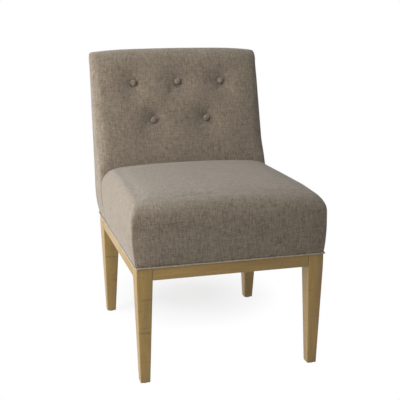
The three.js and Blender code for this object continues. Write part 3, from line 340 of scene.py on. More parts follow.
# Oak. A pattern is its size across and along the grain, the noise's detail, and the noise values
# between which it grows from nothing to full.
FIGURE = (0.03, 0.3, 3, 0.3, 0.7)
STREAKS = (0.0025, 0.09, 4, 0.3, 0.7)
PORES = (0.0008, 0.012, 3, 0.58, 0.7)
MARKS = (0.09, 0.006, 1, 0.66, 0.72)
FIGURE_SHARE = 0.5
STREAK_SHARE = 0.5
PORE_SHARE = 0.45
MARK_SHARE = 0.55
OAK_SEEDS = 97
OAK_DARK = (0.165, 0.096, 0.021)
OAK_LIGHT = (0.28, 0.175, 0.042)
OAK_PORE = (0.075, 0.04, 0.014)
OAK_ROUGHNESS = 0.42
OAK_COAT = 0.1
OAK_COAT_ROUGHNESS = 0.3
OAK_RELIEF = 0.00006

# Other materials are one noise each: name, dark and light colour, pattern size along X, Y and Z in
# millimetres, roughness, relief in millimetres, and 1 for a metal
NOISE_ROUGHNESS = 0.5
GRAIN_DETAIL = 4
GRAIN_ROUGHNESS = 0.6
GRAIN_LOW = 0.3
GRAIN_HIGH = 0.7
FINE = (1.2, 1.2, 1.2)
GRAINED = {
    "frame_wood": ("sawn_frame_wood", (0.42, 0.3, 0.16), (0.68, 0.52, 0.32), (20, 20, 4), 0.8, 0.2, 0),
    "batting": ("batting", (0.72, 0.72, 0.7), (0.9, 0.9, 0.88), (3, 3, 3), 1, 0.5, 0),
    "foam": ("foam", (0.6, 0.5, 0.24), (0.84, 0.75, 0.42), FINE, 1, 0.3, 0),
    "decking": ("fibre_pad", (0.16, 0.1, 0.045), (0.34, 0.23, 0.11), (6, 1.5, 2), 1, 0.4, 0),
    "cambric": ("black_cambric", (0.008, 0.008, 0.009), (0.02, 0.02, 0.023), (0.8, 2.4, 1), 0.95, 0.1, 0),
    "webbing": ("jute_webbing", (0.32, 0.23, 0.11), (0.55, 0.43, 0.25), (4, 1.2, 1.2), 0.95, 0.3, 0),
    "twine": ("waxed_twine", (0.5, 0.45, 0.34), (0.74, 0.69, 0.56), FINE, 0.7, 0.1, 0),
    "steel": ("drawn_steel", (0.36, 0.37, 0.38), (0.5, 0.5, 0.51), (0.6, 6, 0.6), 0.32, 0.02, 1),
    "plastic": ("moulded_plastic", (0.028, 0.022, 0.016), (0.04, 0.032, 0.025), FINE, 0.5, 0.03, 0),
}


def lerp(low, high, share):
    return low + (high - low) * share


def clamp(value):
    return np.clip(value, 0, 1)


# Eases from 0 to 1
def smooth(value):
    share = clamp(value)
    return share * share * (3 - 2 * share)


# 0 at both ends of 0 to 1, and 1 halfway
def hump(share):
    return 4 * share * (1 - share)


# 1 in the middle of a line, and fading away on both sides
def ridge(distance, width):
    return np.exp(-((distance / width) ** 2))


# Angles in equal steps over a turn, with both its ends
def turn_steps(turn, steps, start=0):
    return [start + turn * step / steps for step in range(steps + 1)]


def middle_of(name):
    low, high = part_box(name)
    return (low + high) / 2


def flat_size(name):
    low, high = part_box(name)
    return (high.x - low.x, high.y - low.y)


def spans(low, high):
    return (low.x, high.x), (low.y, high.y), (low.z, high.z)


def shrunk(span, by):
    return (span[0] + by, span[1] - by)


# Objects and meshes


def new_object(name, points, faces):
    mesh = bpy.data.meshes.new(name)
    mesh.from_pydata([tuple(point) for point in points], [], [tuple(face) for face in faces])
    mesh.update()
    mesh.shade_smooth()
    obj = bpy.data.objects.new(name, mesh)
    bpy.context.scene.collection.objects.link(obj)
    return obj


def sharpen(obj, angle=SHARP_ANGLE):
    obj.data.set_sharp_from_angle(angle=angle)
    return obj


def apply_modifiers(obj):
    graph = bpy.context.evaluated_depsgraph_get()
    mesh = bpy.data.meshes.new_from_object(obj.evaluated_get(graph))
    obj.modifiers.clear()
    old = obj.data
    obj.data = mesh
    bpy.data.meshes.remove(old)


def subdivide(obj):
    modifier = obj.modifiers.new("subdivision", "SUBSURF")
    modifier.levels = 1
    modifier.render_levels = 1
    apply_modifiers(obj)


def open_form(obj):
    form = bmesh.new()
    form.from_mesh(obj.data)
    return form


def close_form(form, obj):
    form.to_mesh(obj.data)
    form.free()


# Closes the open lower edge with one flat face
def close_bottom(obj):
    form = open_form(obj)
    edges = [edge for edge in form.edges if edge.is_boundary]
    bmesh.ops.holes_fill(form, edges=edges, sides=0)
    bmesh.ops.recalc_face_normals(form, faces=form.faces)
    close_form(form, obj)


# Keeps sharp the rim of a flat part: edges in it that also have a face outside it
def crease_rim(obj, in_part):
    form = open_form(obj)
    layer = form.edges.layers.float.new("crease_edge")
    for edge in form.edges:
        if all(in_part[vertex.index] for vertex in edge.verts):
            inside = [all(in_part[vertex.index] for vertex in face.verts) for face in edge.link_faces]
            edge[layer] = 0 if all(inside) else 1
    close_form(form, obj)


def cut(obj, *cutters):
    for cutter in cutters:
        modifier = obj.modifiers.new("cut", "BOOLEAN")
        modifier.operation = "DIFFERENCE"
        modifier.solver = "MANIFOLD"
        modifier.object = cutter
    apply_modifiers(obj)
    for cutter in cutters:
        bpy.data.objects.remove(cutter)
    obj.data.shade_smooth()
    return sharpen(obj, CUT_SHARP_ANGLE)


# The points of a mesh, or their normals, as rows of x, y and z
def get_points(obj, kind="co"):
    points = np.empty((len(obj.data.vertices), 3))
    obj.data.vertices.foreach_get(kind, points.ravel())
    return points


def set_points(obj, points):
    obj.data.vertices.foreach_set("co", np.ravel(points))
    obj.data.update()


# The faces between rings of equal counts. wrap joins the last ring to the first one too.
def ring_faces(count, rings, wrap=False):
    faces = []
    for ring in range(rings if wrap else rings - 1):
        first = ring * count
        second = (ring + 1) % rings * count
        for i in range(count):
            j = (i + 1) % count
            faces.append((first + i, first + j, second + j, second + i))
    return faces


# The faces of a grid, from the numbers of its points
def grid_faces(index):
    faces = []
    for row in range(len(index) - 1):
        for column in range(len(index[row]) - 1):
            faces.append((
                index[row, column],
                index[row, column + 1],
                index[row + 1, column + 1],
                index[row + 1, column],
            ))
    return faces


# A closed solid through rings that have equal counts, each anticlockwise seen from the last one
def loft(name, rings):
    count = len(rings[0])
    last = (len(rings) - 1) * count
    faces = ring_faces(count, len(rings))
    faces.append(tuple(reversed(range(count))))
    faces.append(tuple(range(last, last + count)))
    points = [point for ring in rings for point in ring]
    return new_object(name, points, faces)


# A profile of (y, z) points, anticlockwise seen from +X, drawn out along X
def prism(name, profile, x):
    rings = [[(place, FRONT + y, z) for y, z in profile] for place in x]
    return loft(name, rings)


def block(name, x, y, z):
    return prism(name, [(y[0], z[0]), (y[1], z[0]), (y[1], z[1]), (y[0], z[1])], x)


def piece(obj, slot, material, *nodes):
    obj.data.materials.clear()
    obj.data.materials.append(material)
    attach(obj, "root")
    if nodes:
        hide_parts(*nodes)
    return obj


# Upholstery outlines


def back_face(z):
    return BACK_SETBACK + BACK_LEAN * (z - BASE_TOP) / BACK_RISE


def back_rear(z):
    low = BASE_DEPTH + FABRIC_OVERHANG
    high = BACK_SETBACK + BACK_LEAN + BACK_TOP_DEPTH
    return lerp(low, high, (z - BASE_TOP) / BACK_RISE)


# The plane where the back cushion ends and the outside panel begins
def back_seam(z):
    fade = 1 - clamp((z - BASE_TOP) / BACK_RISE)
    return back_rear(z) - BACK_LIP - DRAW_IN * fade


# How much of the drawn-in lower edge is left at a height, as a share
def low_share(z):
    return (1 - clamp((z - COVER_BOTTOM) / DRAW_IN_HEIGHT)) ** 2


def drawn_in(z):
    return DRAW_IN * low_share(z)


def swell(z):
    return SIDE_SWELL * (1 - low_share(z))


# How far a crowned front falls back towards its left and right edges, as a share
def edge_bow(x):
    return np.minimum(np.abs(x) / HALF_WIDTH, 1) ** EDGE_BOW_POWER


# A point on the arc of a corner, which is its middle's two places and its radius
def on_arc(corner, angle):
    x, y, radius = corner
    return (x + radius * math.cos(angle), y + radius * math.sin(angle))


# Points along one side of a plan: half of its first corner, the straight part and half of the next
def side_points(first, second, angle, count, crowding):
    start = np.array(on_arc(first, angle + EIGHTH_TURN))
    end = np.array(on_arc(second, angle + EIGHTH_TURN))
    arc_1 = first[2] * EIGHTH_TURN
    arc_2 = second[2] * EIGHTH_TURN
    straight = np.linalg.norm(end - start)
    total = arc_1 + straight + arc_2
    points = []
    for i in range(count):
        share = i / count
        share -= crowding * math.sin(FULL_TURN * share) / FULL_TURN
        place = share * total
        if place < arc_1:
            points.append(on_arc(first, angle + place / first[2]))
        elif place <= arc_1 + straight:
            points.append(tuple(start + (end - start) * ((place - arc_1) / straight)))
        else:
            points.append(on_arc(second, angle + QUARTER_TURN - (total - place) / second[2]))
    return points


# A round-cornered plan outline, anticlockwise from the middle of its front left corner
def outline(half, rear_half, front, rear, front_radius, rear_radius, columns, rows, crowding=0):
    corners = [
        (front_radius - half, front + front_radius, front_radius),
        (half - front_radius, front + front_radius, front_radius),
        (rear_half - rear_radius, rear - rear_radius, rear_radius),
        (rear_radius - rear_half, rear - rear_radius, rear_radius),
    ]
    points = []
    for side, corner in enumerate(corners):
        after = corners[(side + 1) % len(corners)]
        angle = QUARTER_TURN * (side - 1) - EIGHTH_TURN
        points += side_points(corner, after, angle, rows if side % 2 else columns, crowding)
    return np.array(points)


# The places inside the last ring, as a grid that meets the ring
def inner_grid(ring, columns, rows):
    count = len(ring)
    u = np.linspace(0, 1, columns + 1)[None, :, None]
    v = np.linspace(0, 1, rows + 1)[:, None, None]
    front = ring[: columns + 1][None]
    rear = ring[columns + rows : 2 * columns + rows + 1][::-1][None]
    right = ring[columns : columns + rows + 1][:, None]
    left = ring[[-row % count for row in range(rows + 1)]][:, None]
    corners = (
        (1 - u) * (1 - v) * front[:, :1]
        + u * (1 - v) * front[:, -1:]
        + (1 - u) * v * rear[:, :1]
        + u * v * rear[:, -1:]
    )
    return (1 - v) * front + v * rear + (1 - u) * left + u * right - corners


# A form through plan rings, open below, with a grid over the last one at the heights of top
def boxed_form(name, rings, columns, rows, top=None):
    count = len(rings[0])
    grid = inner_grid(rings[-1], columns, rows)
    if top:
        grid[..., 2] = top(grid[..., 0], grid[..., 1] - FRONT)
    inside = grid[1:-1, 1:-1].reshape(-1, 3)
    last = (len(rings) - 1) * count
    index = np.empty((rows + 1, columns + 1), int)
    index[0] = last + np.arange(columns + 1)
    index[rows] = last + 2 * columns + rows - np.arange(columns + 1)
    index[1:-1, 0] = last + count - np.arange(1, rows)
    index[1:-1, columns] = last + columns + np.arange(1, rows)
    index[1:-1, 1:-1] = last + count + np.arange(len(inside)).reshape(rows - 1, columns - 1)
    faces = ring_faces(count, len(rings)) + grid_faces(index)
    return new_object(name, np.concatenate([*rings, inside]), faces)


# Rings up the sides of a cushion and over its rolled edge, which rises on by roll
def stacked_rings(make_ring, roll_start, roll, last_angle, levels, roll_levels, slack_share):
    rings = []
    for step in range(levels + 1):
        share = step / levels
        slack = SLACK * smooth(share / slack_share)
        rings.append(make_ring(lerp(COVER_BOTTOM, roll_start, share), 0, slack))
    for angle in turn_steps(last_angle, roll_levels)[1:]:
        rings.append(make_ring(roll_start + roll * math.sin(angle), angle, SLACK))
    return rings


# Blows the form up a little with its pinned points held, and limits how far each point moves
def inflate(obj, pinned):
    scene = bpy.context.scene
    start = get_points(obj)
    normals = get_points(obj, "normal")
    group = obj.vertex_groups.new(name="pins")
    group.add([int(i) for i in np.flatnonzero(pinned)], FULL, "REPLACE")
    modifier = obj.modifiers.new("cloth", "CLOTH")
    settings = modifier.settings
    settings.vertex_group_mass = "pins"
    settings.use_pressure = True
    settings.uniform_pressure_force = PRESSURE
    settings.effector_weights.gravity = 0
    modifier.collision_settings.use_collision = False
    modifier.point_cache.frame_start = FIRST_FRAME
    modifier.point_cache.frame_end = LAST_FRAME
    for number in range(FIRST_FRAME, LAST_FRAME + 1):
        scene.frame_set(number)
    graph = bpy.context.evaluated_depsgraph_get()
    moved = np.array([vertex.co for vertex in obj.evaluated_get(graph).data.vertices])
    obj.modifiers.clear()
    obj.vertex_groups.clear()
    scene.frame_set(FIRST_FRAME)
    shift = evened(obj, moved - start, pinned)
    outward = np.sum(shift * normals, axis=1, keepdims=True)
    shift -= normals * np.minimum(outward, 0) * (1 - SINK_SHARE)
    length = np.maximum(np.linalg.norm(shift, axis=1, keepdims=True), LEAST_SHIFT)
    set_points(obj, start + shift * MOST_SWELL * np.tanh(length / MOST_SWELL) / length)


# Spreads a shift over each point's neighbours, which leaves only its soft, wide forms
def evened(obj, shift, pinned):
    pairs = np.array([edge.vertices for edge in obj.data.edges])
    both = np.concatenate([pairs, pairs[:, ::-1]])
    counts = np.bincount(both[:, 0], minlength=len(shift))[:, None]
    for _ in range(EVENING_ROUNDS):
        total = np.zeros_like(shift)
        np.add.at(total, both[:, 0], shift[both[:, 1]])
        shift = (shift + total / counts) / 2
        shift[pinned] = 0
    return shift


# Holds a simulated cushion back to the face that it's fitted against
def keep_before(obj, face):
    points = get_points(obj)
    points[:, 1] = np.minimum(points[:, 1], FRONT + face(points[:, 2]) - CLEARANCE)
    set_points(obj, points)


# The way in from below for the seat frame, inside the hem
def hem_space(front, rear):
    half = HALF_WIDTH - DRAW_IN - HEM_WIDTH
    return block("hem_space", (-half, half), (front, rear), (CUT_LOW, SEAT_RAIL_TOP))


# Seat cushion


def seat_top(x, y):
    across = np.clip(x / HALF_WIDTH, -1, 1)
    share = clamp((y + FABRIC_OVERHANG) / SEAT_DROP_LENGTH)
    sides = SEAT_CROWN * np.abs(across) ** SEAT_CROWN_POWER
    return SEAT_CREST + SEAT_LIFT - sides - SEAT_FRONT_DROP * (1 - share) ** 2


def seat_ring(z, angle, slack):
    shrink = 1 - math.cos(angle)
    inset = drawn_in(z) + slack
    half = HALF_WIDTH + swell(z) - inset
    plan = outline(
        half=half - SEAT_FRONT_SIDE_ROLL * shrink,
        rear_half=half - SEAT_REAR_SIDE_ROLL * shrink,
        front=inset + SEAT_FRONT_ROLL * shrink - FABRIC_OVERHANG,
        rear=back_face(z) - CLEARANCE - SEAT_REAR_ROLL * shrink,
        front_radius=SEAT_CORNER_RADIUS + SEAT_TOP_CORNER * shrink,
        rear_radius=SEAT_REAR_RADIUS + SEAT_REAR_SIDE_ROLL * shrink / 2,
        columns=SEAT_COLUMNS,
        rows=SEAT_ROWS,
        crowding=SEAT_CORNER_CROWDING,
    )
    x, y = plan.T
    rise = (seat_top(x, y) - slack - SEAT_ROLL_START) * math.sin(angle)
    near_front = clamp(1 - (y + FABRIC_OVERHANG) / SEAT_BOW_DEPTH)
    bow = SEAT_EDGE_BOW * edge_bow(x) * near_front * swell(z) / SIDE_SWELL
    return np.column_stack([x, y + bow + FRONT, z + rise])


def seat_cushion():
    rings = stacked_rings(
        seat_ring,
        roll_start=SEAT_ROLL_START,
        roll=0,
        last_angle=QUARTER_TURN,
        levels=SEAT_SIDE_LEVELS,
        roll_levels=SEAT_ROLL_LEVELS,
        slack_share=SEAT_SLACK_SHARE,
    )

    def top(x, y):
        return seat_top(x, y) - SLACK

    obj = boxed_form("seat_cushion", rings, SEAT_COLUMNS, SEAT_ROWS, top)
    x, y, z = get_points(obj).T
    at_bottom = z < COVER_BOTTOM + CLEARANCE
    at_back = y - FRONT > back_face(z) - TOLERANCE
    inflate(obj, at_bottom | at_back)
    keep_before(obj, back_face)
    subdivide(obj)
    sew_seat_corners(obj)
    close_bottom(obj)
    hollow_seat(obj)
    return obj


# The vertical seams at the two front corners, which fade into the rolled edge
def sew_seat_corners(obj):
    points = get_points(obj)
    normals = get_points(obj, "normal")
    for side in (-1, 1):
        x, y, z = points.T
        across = side * x - (HALF_WIDTH + swell(z) - drawn_in(z) - SEAT_CORNER_RADIUS)
        along = drawn_in(z) - FABRIC_OVERHANG + SEAT_CORNER_RADIUS - (y - FRONT)
        near = (across > 0) & (along > 0)
        fade = smooth((SEAT_SEAM_TOP - z) / SEAT_SEAM_FADE)
        depth = SEAT_SEAM_DEPTH * ridge((across - along) / math.sqrt(2), SEAT_SEAM_WIDTH) * fade * near
        points = points - normals * depth[:, None]
    set_points(obj, points)


# Room for the seat rails, the deck and the way through to the back
def hollow_seat(obj):
    front = FRAME_INSET - FABRIC_OVERHANG - CLEARANCE
    rail_top = SEAT_RAIL_TOP + CLEARANCE
    deck_half = DECK_HIGH.x + CLEARANCE
    deck_front = DECK_LOW.y - FRONT - CLEARANCE
    deck_top = DECK_HIGH.z + CLEARANCE
    cut(
        obj,
        block("rail_space", FRAME_SPACE_X, (front, CUT_REAR), (FRAME_BOTTOM, rail_top)),
        hem_space(DRAW_IN + HEM_WIDTH - FABRIC_OVERHANG, CUT_REAR),
        block("deck_space", (-deck_half, deck_half), (deck_front, CUT_REAR), (FRAME_BOTTOM, deck_top)),
    )


# Back cushion


def dimple(distance):
    return TUFT_DEPTH * (1 - np.minimum(distance / TUFT_RADIUS, 1)) ** 2


def tuft_depth(x, z):
    depths = [dimple(np.hypot(x - at[0], z - at[1])) for at in BUTTONS.values()]
    return np.max(depths, axis=0)


# Soft valleys that run from button to button
def pull_depth(x, z):
    total = np.zeros_like(x)
    for first, second in zip(PULLS, PULLS[1:]):
        start = np.array(BUTTONS[first])
        line = np.array(BUTTONS[second]) - start
        length = np.linalg.norm(line)
        along = ((x - start[0]) * line[0] + (z - start[1]) * line[1]) / length**2
        across = ((x - start[0]) * line[1] - (z - start[1]) * line[0]) / length
        ends = clamp(2 * np.abs(clamp(along) - 1 / 2))
        inside = (along > 0) & (along < 1)
        total += PULL_DEPTH * ends * inside * ridge(across, PULL_WIDTH)
    return total


# Draws the surface in where the back cushion and the outside panel are sewn together
def draw_to_seam(obj):
    points = get_points(obj)
    x, y, z = points.T
    depth = SEAM_DRAW * ridge(y - FRONT - back_seam(z), SEAM_REACH)
    near_side = smooth((np.abs(x) / HALF_WIDTH - 1) / SEAM_DRAW_SHARE + 1)
    near_top = smooth((z - CHAIR_TOP) / BACK_TOP_ROLL + 1)
    points[:, 0] -= np.sign(x) * depth * near_side
    points[:, 2] -= depth * near_top
    set_points(obj, points)


def corner_radius(z):
    share = clamp((z - SEAT_ROLL_START) / (BACK_CORNER_END - SEAT_ROLL_START))
    return lerp(BACK_SEAM_CORNER, BACK_FRONT_CORNER, share)


def cover_height_share(z):
    return (z - COVER_BOTTOM) / (CHAIR_TOP - COVER_BOTTOM)


# Half the back's width at its front and at its rear, where the swell fades towards the top
def back_widths(z, angle, slack):
    side = drawn_in(z) + slack + BACK_SIDE_ROLL * (1 - math.cos(angle))
    half = HALF_WIDTH + swell(z) + BACK_FLARE * cover_height_share(z) - side
    return half, half - swell(z) * cover_height_share(z)


def back_crown(x):
    return BACK_TOP_CROWN * (1 - (x / HALF_WIDTH) ** BACK_CROWN_POWER)


# Adds the top's crown, and rounds the top down towards the rear
def back_heights(x, y, z, angle):
    from_rear = clamp((back_rear(z) - y) / BACK_REAR_ROLL)
    rounding = BACK_TOP_ROLL * (1 - np.sqrt(1 - (1 - from_rear) ** 2))
    return z + (back_crown(x) - rounding) * math.sin(angle)


def back_cushion_ring(bottom, angle, slack):
    shrink = 1 - math.cos(angle)
    half, rear_half = back_widths(bottom, angle, slack)
    plan = outline(
        half=half,
        rear_half=rear_half,
        front=back_face(bottom) + slack + BACK_FRONT_ROLL * shrink,
        rear=back_seam(bottom) - CLEARANCE,
        front_radius=corner_radius(bottom) * lerp(1, BACK_TOP_CORNER_SHARE, shrink),
        rear_radius=SEAM_RADIUS,
        columns=BACK_COLUMNS,
        rows=BACK_ROWS,
        crowding=BACK_CROWDING,
    )
    x, y = plan.T
    z = back_heights(x, y, bottom, angle)
    at_front = y < back_face(z) + BACK_FRONT_CORNER
    near_front = clamp(1 - (y - back_face(z)) / BACK_BOW_DEPTH)
    above_seat = smooth((z - SEAT_CREST) / BACK_BOW_START)
    bow = BACK_EDGE_BOW * edge_bow(x) * near_front * above_seat
    y = np.minimum(y + at_front * tuft_depth(x, z) + bow, back_seam(z) - CLEARANCE)
    return np.column_stack([x, y + FRONT, z])


# Rings for a form as high as the back
def back_rings(make_ring, last_angle):
    return stacked_rings(
        make_ring,
        roll_start=BACK_ROLL_START,
        roll=BACK_TOP_ROLL - SLACK,
        last_angle=last_angle,
        levels=BACK_LEVELS,
        roll_levels=BACK_ROLL_LEVELS,
        slack_share=BACK_SLACK_SHARE,
    )


def back_cushion():
    def top(x, y):
        return back_heights(x, y, CHAIR_TOP - BACK_TOP_CROWN - SLACK, QUARTER_TURN)

    rings = back_rings(back_cushion_ring, QUARTER_TURN)
    obj = boxed_form("back_cushion", rings, BACK_COLUMNS, BACK_ROWS, top)
    x, y, z = get_points(obj).T
    pinned = z < COVER_BOTTOM + CLEARANCE
    pinned |= y - FRONT > back_seam(z) - TOLERANCE
    pinned |= (y - FRONT < back_face(z) + HIDDEN_REACH) & (z < SEAT_ROLL_START)
    for button_x, button_z in BUTTONS.values():
        pinned |= np.hypot(x - button_x, z - button_z) < TUFT_PIN_RADIUS
    inflate(obj, pinned)
    keep_before(obj, back_seam)
    x, y, z = get_points(obj).T
    crease_rim(obj, y - FRONT > back_seam(z) - TOLERANCE)
    subdivide(obj)
    points = get_points(obj)
    x, y, z = points.T
    front = smooth((back_face(z) + BACK_TOP_DEPTH - (y - FRONT)) / BACK_FRONT_CORNER)
    points[:, 1] += front * pull_depth(x, z)
    set_points(obj, points)
    draw_to_seam(obj)
    close_bottom(obj)
    hollow_back(obj)
    return obj


# The front of the posts with room for the straps on them
def strap_front(z):
    low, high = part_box("left_back_post")
    share = max((z - POST_UPRIGHT_HEIGHT) / (POST_TOP - POST_UPRIGHT_HEIGHT), 0)
    return lerp(low.y, high.y - POST_THICKNESS, share) - FRONT - STRAP_SPACE


# Room for the posts, the rails and the straps, and the way through from the seat
def hollow_back(obj):
    top = POST_TOP + CLEARANCE
    profile = [
        (strap_front(BASE_TOP), FRAME_BOTTOM),
        (CUT_REAR, FRAME_BOTTOM),
        (CUT_REAR, top),
        (strap_front(top), top),
        (strap_front(POST_UPRIGHT_HEIGHT), POST_UPRIGHT_HEIGHT),
    ]
    cut(
        obj,
        prism("frame_space", profile, FRAME_SPACE_X),
        block("tuck_space", FRAME_SPACE_X, (0, CUT_REAR), (FRAME_BOTTOM, TUCK_TOP)),
        hem_space(BACK_SETBACK - HEM_WIDTH, CUT_REAR),
    )


# Outside back: the panel that closes the back, sewn along the seam


def panel_ring(z, angle, slack):
    shrink = 1 - math.cos(angle)
    half, rear_half = back_widths(z, angle, slack)
    depth = back_rear(z) - drawn_in(z) - BACK_REAR_ROLL * shrink - back_seam(z)
    plan = outline(
        half=lerp(rear_half, half, BACK_LIP / BACK_SETBACK),
        rear_half=rear_half,
        front=back_seam(z),
        rear=back_seam(z) + depth,
        front_radius=min(SEAM_RADIUS, depth * PANEL_SEAM_SHARE),
        rear_radius=min(BACK_REAR_CORNER, depth * PANEL_CORNER_SHARE),
        columns=BACK_COLUMNS,
        rows=PANEL_ROWS,
    )
    x, y = plan.T
    crowned = z + back_crown(x) * math.sin(angle)
    return np.column_stack([x, np.maximum(y, back_seam(crowned)) + FRONT, crowned])


def outside_panel():
    rings = back_rings(panel_ring, PANEL_LAST_ANGLE)
    obj = boxed_form("outside_back_panel", rings, BACK_COLUMNS, PANEL_ROWS)
    x, y, z = get_points(obj).T
    crease_rim(obj, y - FRONT < back_seam(z) + TOLERANCE)
    subdivide(obj)
    draw_to_seam(obj)
    points = get_points(obj)
    x, y, z = points.T
    rear = smooth((y - FRONT - back_seam(z)) / BACK_LIP)
    across = clamp(1 - (x / HALF_WIDTH) ** 2)
    points[:, 1] += PANEL_CROWN * rear * across * hump(clamp(cover_height_share(z)))
    set_points(obj, points)
    close_bottom(obj)
    hollow_panel(obj)
    return obj


def hollow_panel(obj):
    low = FRAME_BOTTOM - CLEARANCE
    inset = FRAME_INSET - CLEARANCE
    profile = [
        (0, low),
        (back_rear(low) - inset, low),
        (back_rear(POST_TOP) - inset, POST_TOP),
        (0, POST_TOP),
    ]
    hem_rear = BASE_DEPTH + FABRIC_OVERHANG - DRAW_IN - HEM_WIDTH
    cut(obj, prism("post_space", profile, FRAME_SPACE_X), hem_space(0, hem_rear))


# Wooden base


# A rectangle with rounded corners, anticlockwise, as pairs of places
def rounded_rectangle(a, b, radius):
    middles = [
        (a[1] - radius, b[0] + radius),
        (a[1] - radius, b[1] - radius),
        (a[0] + radius, b[1] - radius),
        (a[0] + radius, b[0] + radius),
    ]
    points = []
    for corner, middle in enumerate(middles):
        for angle in turn_steps(QUARTER_TURN, WOOD_CORNER_STEPS, QUARTER_TURN * (corner - 1)):
            points.append(on_arc((*middle, radius), angle))
    return points


# The x, y and z of a place that lies at along on the axis
def in_order(axis, along, a, b):
    return {"x": (along, a, b), "y": (a, along, b), "z": (a, b, along)}[axis]


# A bar through rounded rectangles. A section is its place along the axis, two spans and a radius.
def bar(name, axis, sections):
    rings = []
    for place, a, b, radius in sections:
        rings.append([in_order(axis, place, *point) for point in rounded_rectangle(a, b, radius)])
    obj = loft(name, rings)
    form = open_form(obj)
    bmesh.ops.recalc_face_normals(form, faces=form.faces)
    close_form(form, obj)
    return sharpen(obj)


# Rounds the end of a bar: sections that grow to the full spans from the end inwards
def eased_end(end, inward, a, b):
    sections = []
    for angle in turn_steps(QUARTER_TURN, WOOD_CORNER_STEPS):
        inset = WOOD_EASE * (1 - math.sin(angle))
        place = end + inward * WOOD_EASE * (1 - math.cos(angle))
        sections.append((place, shrunk(a, inset), shrunk(b, inset), WOOD_RADIUS))
    return sections


# Level rings of points, one at each height
def circle_rings(radius, heights, middle):
    circle = (middle.x, middle.y, radius)
    angles = turn_steps(FULL_TURN, ROUND_SIDES)[:-1]
    return [[(*on_arc(circle, angle), z) for angle in angles] for z in heights]


# The spans of a mortise across its rail and along it, from a leg's span and which way is out
def mortise_spans(span, way):
    inner, outer = span if way > 0 else (span[1], span[0])
    near = TENON_INSET - CLEARANCE
    far = TENON_INSET + TENON_THICKNESS + CLEARANCE
    deep = TENON_LENGTH + CLEARANCE
    across = sorted((outer - way * near, outer - way * far))
    along = sorted((inner + way * deep, inner - way * WOOD_RADIUS))
    return across, along


def leg(corner, foot):
    low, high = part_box(f"{corner}_leg")
    x, y, z = spans(low, high)
    middle = middle_of(f"{corner}_glide")
    foot_x = (middle.x - foot[0] / 2, middle.x + foot[0] / 2)
    foot_y = (middle.y - foot[1] / 2, middle.y + foot[1] / 2)
    shoulder = BASE_TOP - BASE_RAIL_HEIGHT
    sections = eased_end(z[0], 1, foot_x, foot_y)
    sections.append((shoulder, x, y, WOOD_RADIUS))
    sections += reversed(eased_end(z[1], -1, x, y))
    obj = bar(f"{corner}_leg_oak", "z", sections)
    across_x, along_x = mortise_spans(x, math.copysign(1, middle.x))
    across_y, along_y = mortise_spans((y[0] - FRONT, y[1] - FRONT), math.copysign(1, middle.y))
    height = shrunk((shoulder, BASE_TOP), TENON_SHOULDER - CLEARANCE)
    cut(
        obj,
        block("end_mortise", along_x, across_y, height),
        block("side_mortise", across_x, along_y, height),
        loft("nail_hole", circle_rings(GLIDE_NAIL_RADIUS + CLEARANCE, (0, GLIDE_NAIL_TOP), middle)),
    )
    return sharpen(obj)


def base_rail(name, axis):
    low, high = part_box(name)
    x, y, z = spans(low, high)
    along, across = (x, y) if axis == "x" else (y, x)
    tenon = (shrunk(across, TENON_INSET), shrunk(z, TENON_SHOULDER), CLEARANCE)
    start, end = shrunk(along, TENON_LENGTH + CLEARANCE)
    sections = [
        (along[0], *tenon),
        (start, *tenon),
        *eased_end(start, 1, across, z),
        *reversed(eased_end(end, -1, across, z)),
        (end, *tenon),
        (along[1], *tenon),
    ]
    return bar(f"{name}_oak", axis, sections)


def glide(corner):
    name = f"{corner}_glide"
    low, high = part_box(name)
    radius = (high.x - low.x) / 2
    profile = []
    for angle in turn_steps(QUARTER_TURN, WOOD_CORNER_STEPS):
        profile.append((radius - GLIDE_EDGE * (1 - math.sin(angle)), GLIDE_EDGE * (1 - math.cos(angle))))
    profile.append((radius, GLIDE_HEIGHT))
    profile.append((GLIDE_NAIL_RADIUS, GLIDE_HEIGHT))
    profile.append((GLIDE_NAIL_RADIUS, high.z))
    rings = [circle_rings(size, [z], middle_of(name))[0] for size, z in profile]
    return sharpen(loft(f"{name}_cap", rings))


def build_base():
    for corner in CORNERS:
        foot = FRONT_FOOT if corner.startswith("front") else REAR_FOOT
        piece(leg(corner, foot), "oak", oak(f"{corner}_oak", "z"), f"{corner}_leg")
        piece(glide(corner), "plastic", materials["plastic"], f"{corner}_glide")
    for side, axis in (("front", "x"), ("rear", "x"), ("left", "y"), ("right", "y")):
        name = f"{side}_base_rail"
        piece(base_rail(name, axis), "oak", oak(f"{side}_rail_oak", axis), name)


# Welt: a fabric-covered cord round the lower edge, with its sewing tape turned in


# The tape's and the cord's section, as insets, heights and, on the cord, angles round it
def welt_section():
    cord_inset = DRAW_IN - CLEARANCE - WELT_RADIUS
    tape_inset = cord_inset + WELT_RADIUS + WELT_TAPE_WIDTH
    bottom = BASE_TOP + CLEARANCE
    section = [(tape_inset, bottom, None)]
    for angle in turn_steps(WELT_WRAP, WELT_SECTION_STEPS, -QUARTER_TURN):
        section.append((cord_inset, bottom + WELT_RADIUS, angle))
    section.append((cord_inset + WELT_RADIUS, bottom + WELT_TAPE_THICKNESS, None))
    section.append((tape_inset, bottom + WELT_TAPE_THICKNESS, None))
    return section


